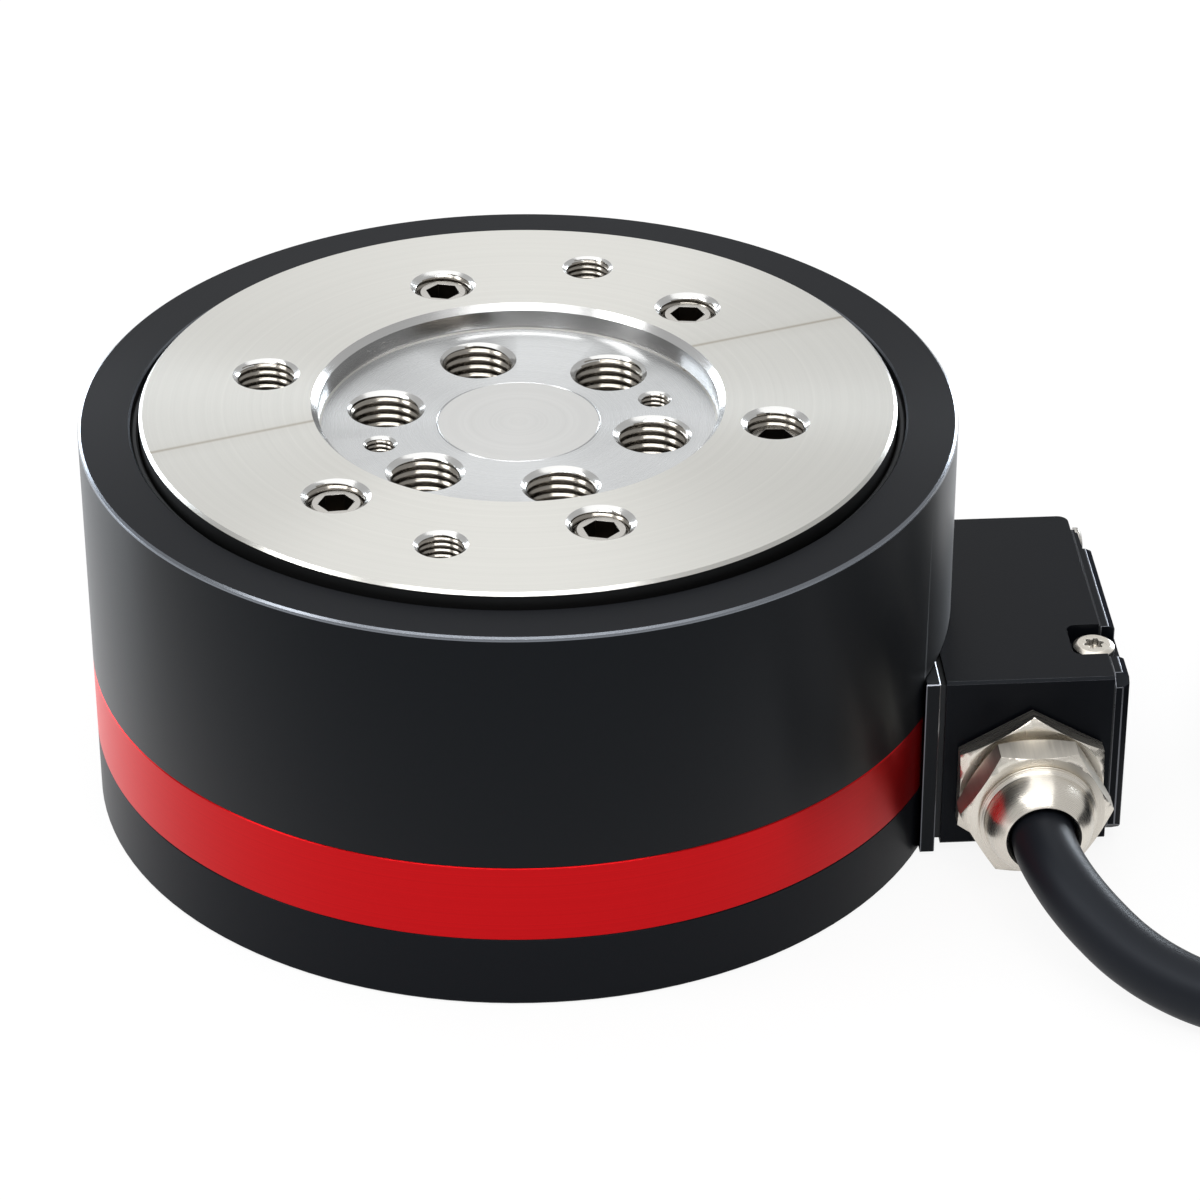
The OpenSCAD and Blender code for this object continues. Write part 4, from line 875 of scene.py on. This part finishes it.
def add_tool_flange():
    flange = revolve("steel_flange", [
        (0, RECESS_Z), (GROOVE_R - GROOVE_HALF, RECESS_Z), (GROOVE_R, RECESS_Z - GROOVE_DEPTH),
        (GROOVE_R + GROOVE_HALF, RECESS_Z), (RECESS_R - RECESS_FOOT, RECESS_Z),
        (RECESS_R - RECESS_FOOT * 0.3, RECESS_Z + RECESS_FOOT * 0.3), (RECESS_R, RECESS_Z + RECESS_FOOT),
        (RECESS_R, TOOL_Z - RECESS_MOUTH), (RECESS_R + RECESS_MOUTH, TOOL_Z),
        (FLANGE_R - FLANGE_EDGE, TOOL_Z), (FLANGE_R, TOOL_Z - FLANGE_EDGE),
        (FLANGE_R, FLANGE_Z + FLANGE_EDGE), (FLANGE_R - FLANGE_EDGE, FLANGE_Z),
        (HUB_R, FLANGE_Z), (HUB_R, HUB_Z), (0, HUB_Z),
    ], 360)
    cut(flange, [cutter for hole in HOLE_RINGS.values() for cutter in hole_cutters(hole)])
    finish_piece(flange, "stainless", "tool_flange")
    for finish, chosen in FLANGE_REGIONS:
        paint_where(flange, finish, chosen)


def add_threads():
    for name, hole in HOLE_RINGS.items():
        threads = repeated_round(
            f"{name}_hole_threads", threaded_liner(hole),
            hole["count"], hole["ring_r"], hole["first"], "shaded_thread_steel",
        )
        # The threads take the darker steel: painted shade down the holes
        finish_piece(threads, "stainless", angle=40, finish="shaded_thread_steel")
        cone_z = hole["mouth"] - hole["chamfer"] * 0.66
        paint_where(threads, "mouth_steel", lambda c, n: 0.5 < n.z and cone_z < c.z)


def in_a_socket(centre, normal):
    """Whether a set screw's face lies inside its hexagon socket."""
    nearest = min(away(centre - place) for place in hole_places(HOLE_RINGS["outer"]))
    on_its_wall = abs(normal.z) < 0.5
    return nearest < SOCKET_R and centre.z < SOCKET_TOP and (on_its_wall or centre.z < SOCKET_FLOOR)


# ------------------------------------------------------------------ side box and gland

def finish_cover(cover, screws):
    """Gives the cover's plate its full thickness, outwards, and its upright screws their flat heads."""
    for vertex in cover.data.vertices:
        if vertex.co.x > COVER_X:
            vertex.co.x = COVER_X + (vertex.co.x - COVER_X) * COVER_GROWTH
    paint_where(cover, "shaded_black", lambda c, n: 0.2 < n.x < 0.95 and 0.2 < n.z)
    for vertex in screws.data.vertices:
        vertex.co.x = COVER_SCREW[0] + (vertex.co.x - COVER_SCREW[0]) * HEAD_GROWTH
        vertex.co.y = COVER_SCREW[1] + (vertex.co.y - COVER_SCREW[1]) * HEAD_GROWTH
    paint_where(screws, "nickel", lambda c, n: 0.7 < n.z)


def on_a_flat(centre, normal):
    """Whether a face is one of the six flats of a hexagon on the gland's axis."""
    from_axis = math.hypot(centre.x - GLAND_X, centre.z - GLAND_Z)
    return abs(normal.y) < 0.02 and from_axis > GLAND_FLATS_R


def finish_gland(dressed):
    for name in ("gland_body", "gland_cap_nut", "gland_washer"):
        mark_round(dressed[name], 1, (GLAND_X, GLAND_Z), "round_the_gland")
        dressed[name].data.materials[0] = FINISHES["turned_nickel"]
    paint_where(dressed["gland_cap_nut"], "drawn_nickel", on_a_flat)


def add_gland_ridges():
    """Two fine turned ridges between the cap nut's hexagon and its dome."""
    across, along = 20, 72
    bm = bmesh.new()
    for middle_y, thick in RIDGES:
        rings = []
        for i in range(along):
            turn = 2 * math.pi * i / along
            ring = []
            for k in range(across):
                bow = 2 * math.pi * k / across
                radius = RIDGE_R + thick * math.cos(bow)
                y = middle_y + thick * math.sin(bow)
                x, z = GLAND_X + radius * math.cos(turn), GLAND_Z + radius * math.sin(turn)
                ring.append(bm.verts.new((x, y, z)))
            rings.append(ring)
        skin(bm, rings)
    finish_piece(new_object("gland_ridges", bm), "nickel", angle=60)


# ------------------------------------------------------------------ cable

def eased(share, start, end):
    """0 before start, 1 after end, and a smooth step between them."""
    t = min(max((share - start) / (end - start), 0.0), 1.0)
    return t * t * (3 - 2 * t)


def coil_points():
    """Centre line of the wound cable: inwards on the lower layer, up, and outwards on the upper one."""
    steps = 72
    turns = 2 * COIL_ACROSS - 0.75
    for i in range(int(turns * steps) + 1):
        t = i / steps
        inward = sum(eased(t, k + 0.75, k + 1.0) for k in range(COIL_ACROSS - 1))
        outward = sum(eased(t, k + 0.25, k + 0.5) for k in range(COIL_ACROSS, 2 * COIL_ACROSS - 1))
        radius = TURN_R - CABLE_D * (inward - outward)
        z = CABLE_D / 2 + CABLE_D * eased(t, COIL_ACROSS - 0.5, COIL_ACROSS - 0.25)
        yield COIL_CENTRE + polar(radius, -math.pi / 2 + 2 * math.pi * t, z)


def rounded_route(corners, parts=6):
    """A smooth line through the corners of a route."""
    line = []
    for i in range(len(corners) - 1):
        p0 = corners[max(i - 1, 0)]
        p1, p2 = corners[i], corners[i + 1]
        p3 = corners[min(i + 2, len(corners) - 1)]
        for k in range(parts):
            t = k / parts
            line.append(0.5 * (
                2 * p1 + (p2 - p0) * t + (2 * p0 - 5 * p1 + 4 * p2 - p3) * t * t
                + (3 * p1 - p0 - 3 * p2 + p3) * t * t * t
            ))
    line.append(corners[-1])
    return line


def cable_line():
    lead = [Vector(point) * MM for point in CABLE_ROUTE]
    coil = list(coil_points())
    tail = [Vector((TAIL_X, y * MM, z * MM)) for y, z in TAIL_STEPS]
    return rounded_route(lead + coil[:1])[:-1] + coil + rounded_route(tail)[1:]


def add_cable():
    line = cable_line()
    data = bpy.data.curves.new("cable_line", "CURVE")
    data.dimensions = "3D"
    data.bevel_depth = CABLE_D / 2
    data.bevel_resolution = 8
    data.use_fill_caps = True
    spline = data.splines.new("POLY")
    spline.points.add(len(line) - 1)
    for point, place in zip(spline.points, line):
        point.co = (*place, 1)
    spline.use_smooth = True
    data.materials.append(FINISHES["cable_jacket"])
    cable = linked("sensor_cable", data)
    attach(cable, "root")
    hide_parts("cable", "cable_coil", "cable_tail")
    return cable


def strap_loop():
    """Corners of the strap round the coil's section: centre's radius and height, and direction from it."""
    high_r = TURN_R
    low_r = TURN_R - (COIL_ACROSS - 1) * CABLE_D
    low_z, high_z = CABLE_D / 2, 3 * CABLE_D / 2
    for centre_r, centre_z, start in (
        (high_r, low_z, -90), (high_r, high_z, 0), (low_r, high_z, 90), (low_r, low_z, 180)
    ):
        for k in range(9):
            angle = math.radians(start + 90 * k / 8)
            yield centre_r, centre_z, math.cos(angle), math.sin(angle)


def add_coil_tie():
    """A strap round the turns of the coil."""
    half = CABLE_D / 2
    inside, outside = half - STRAP_SINK, half + STRAP_RISE
    turn = Matrix.Translation(COIL_CENTRE) @ Matrix.Rotation(math.radians(STRAP_ANGLE), 4, "Z")
    bm = bmesh.new()
    rings = []
    for side, reach, lowest in (
        (-1, inside, STRAP_SINK), (-1, outside, 0.0), (1, outside, 0.0), (1, inside, STRAP_SINK)
    ):
        ring = []
        for centre_r, centre_z, cosine, sine in strap_loop():
            z = max(centre_z + reach * sine, lowest)
            corner = Vector((centre_r + reach * cosine, side * STRAP_HALF_WIDTH, z))
            ring.append(bm.verts.new(turn @ corner))
        rings.append(ring)
    skin(bm, rings)
    return finish_piece(new_object("coil_strap", bm), "black_plastic", "coil_tie", angle=40)


# ------------------------------------------------------------------ the whole scene

def main():
    add_camera()
    add_world()
    add_floor()
    for lamp in LAMPS:
        add_lamp(*lamp)
    slots = {item["node"]: item["material_slot"] for item in frame["record"]["subparts"]}
    for name, node in nodes.items():
        node.data.materials.clear()
        node.data.materials.append(FINISHES[slots[name]])
    cable = add_cable()
    strap = add_coil_tie()
    add_accent_ring()
    add_shell()
    add_tool_flange()
    add_threads()
    dressed = {name: refined(name, slots[name]) for name in BROKEN_EDGES}
    dressed["base_flange"].data.materials[0] = FINISHES["rim_anodised"]
    # Painted shade in the set screws' hexagon sockets
    paint_where(dressed["set_screws"], "shaded_socket_steel", in_a_socket)
    finish_cover(dressed["side_cover"], dressed["cover_screws"])
    finish_gland(dressed)
    add_gland_ridges()


main()
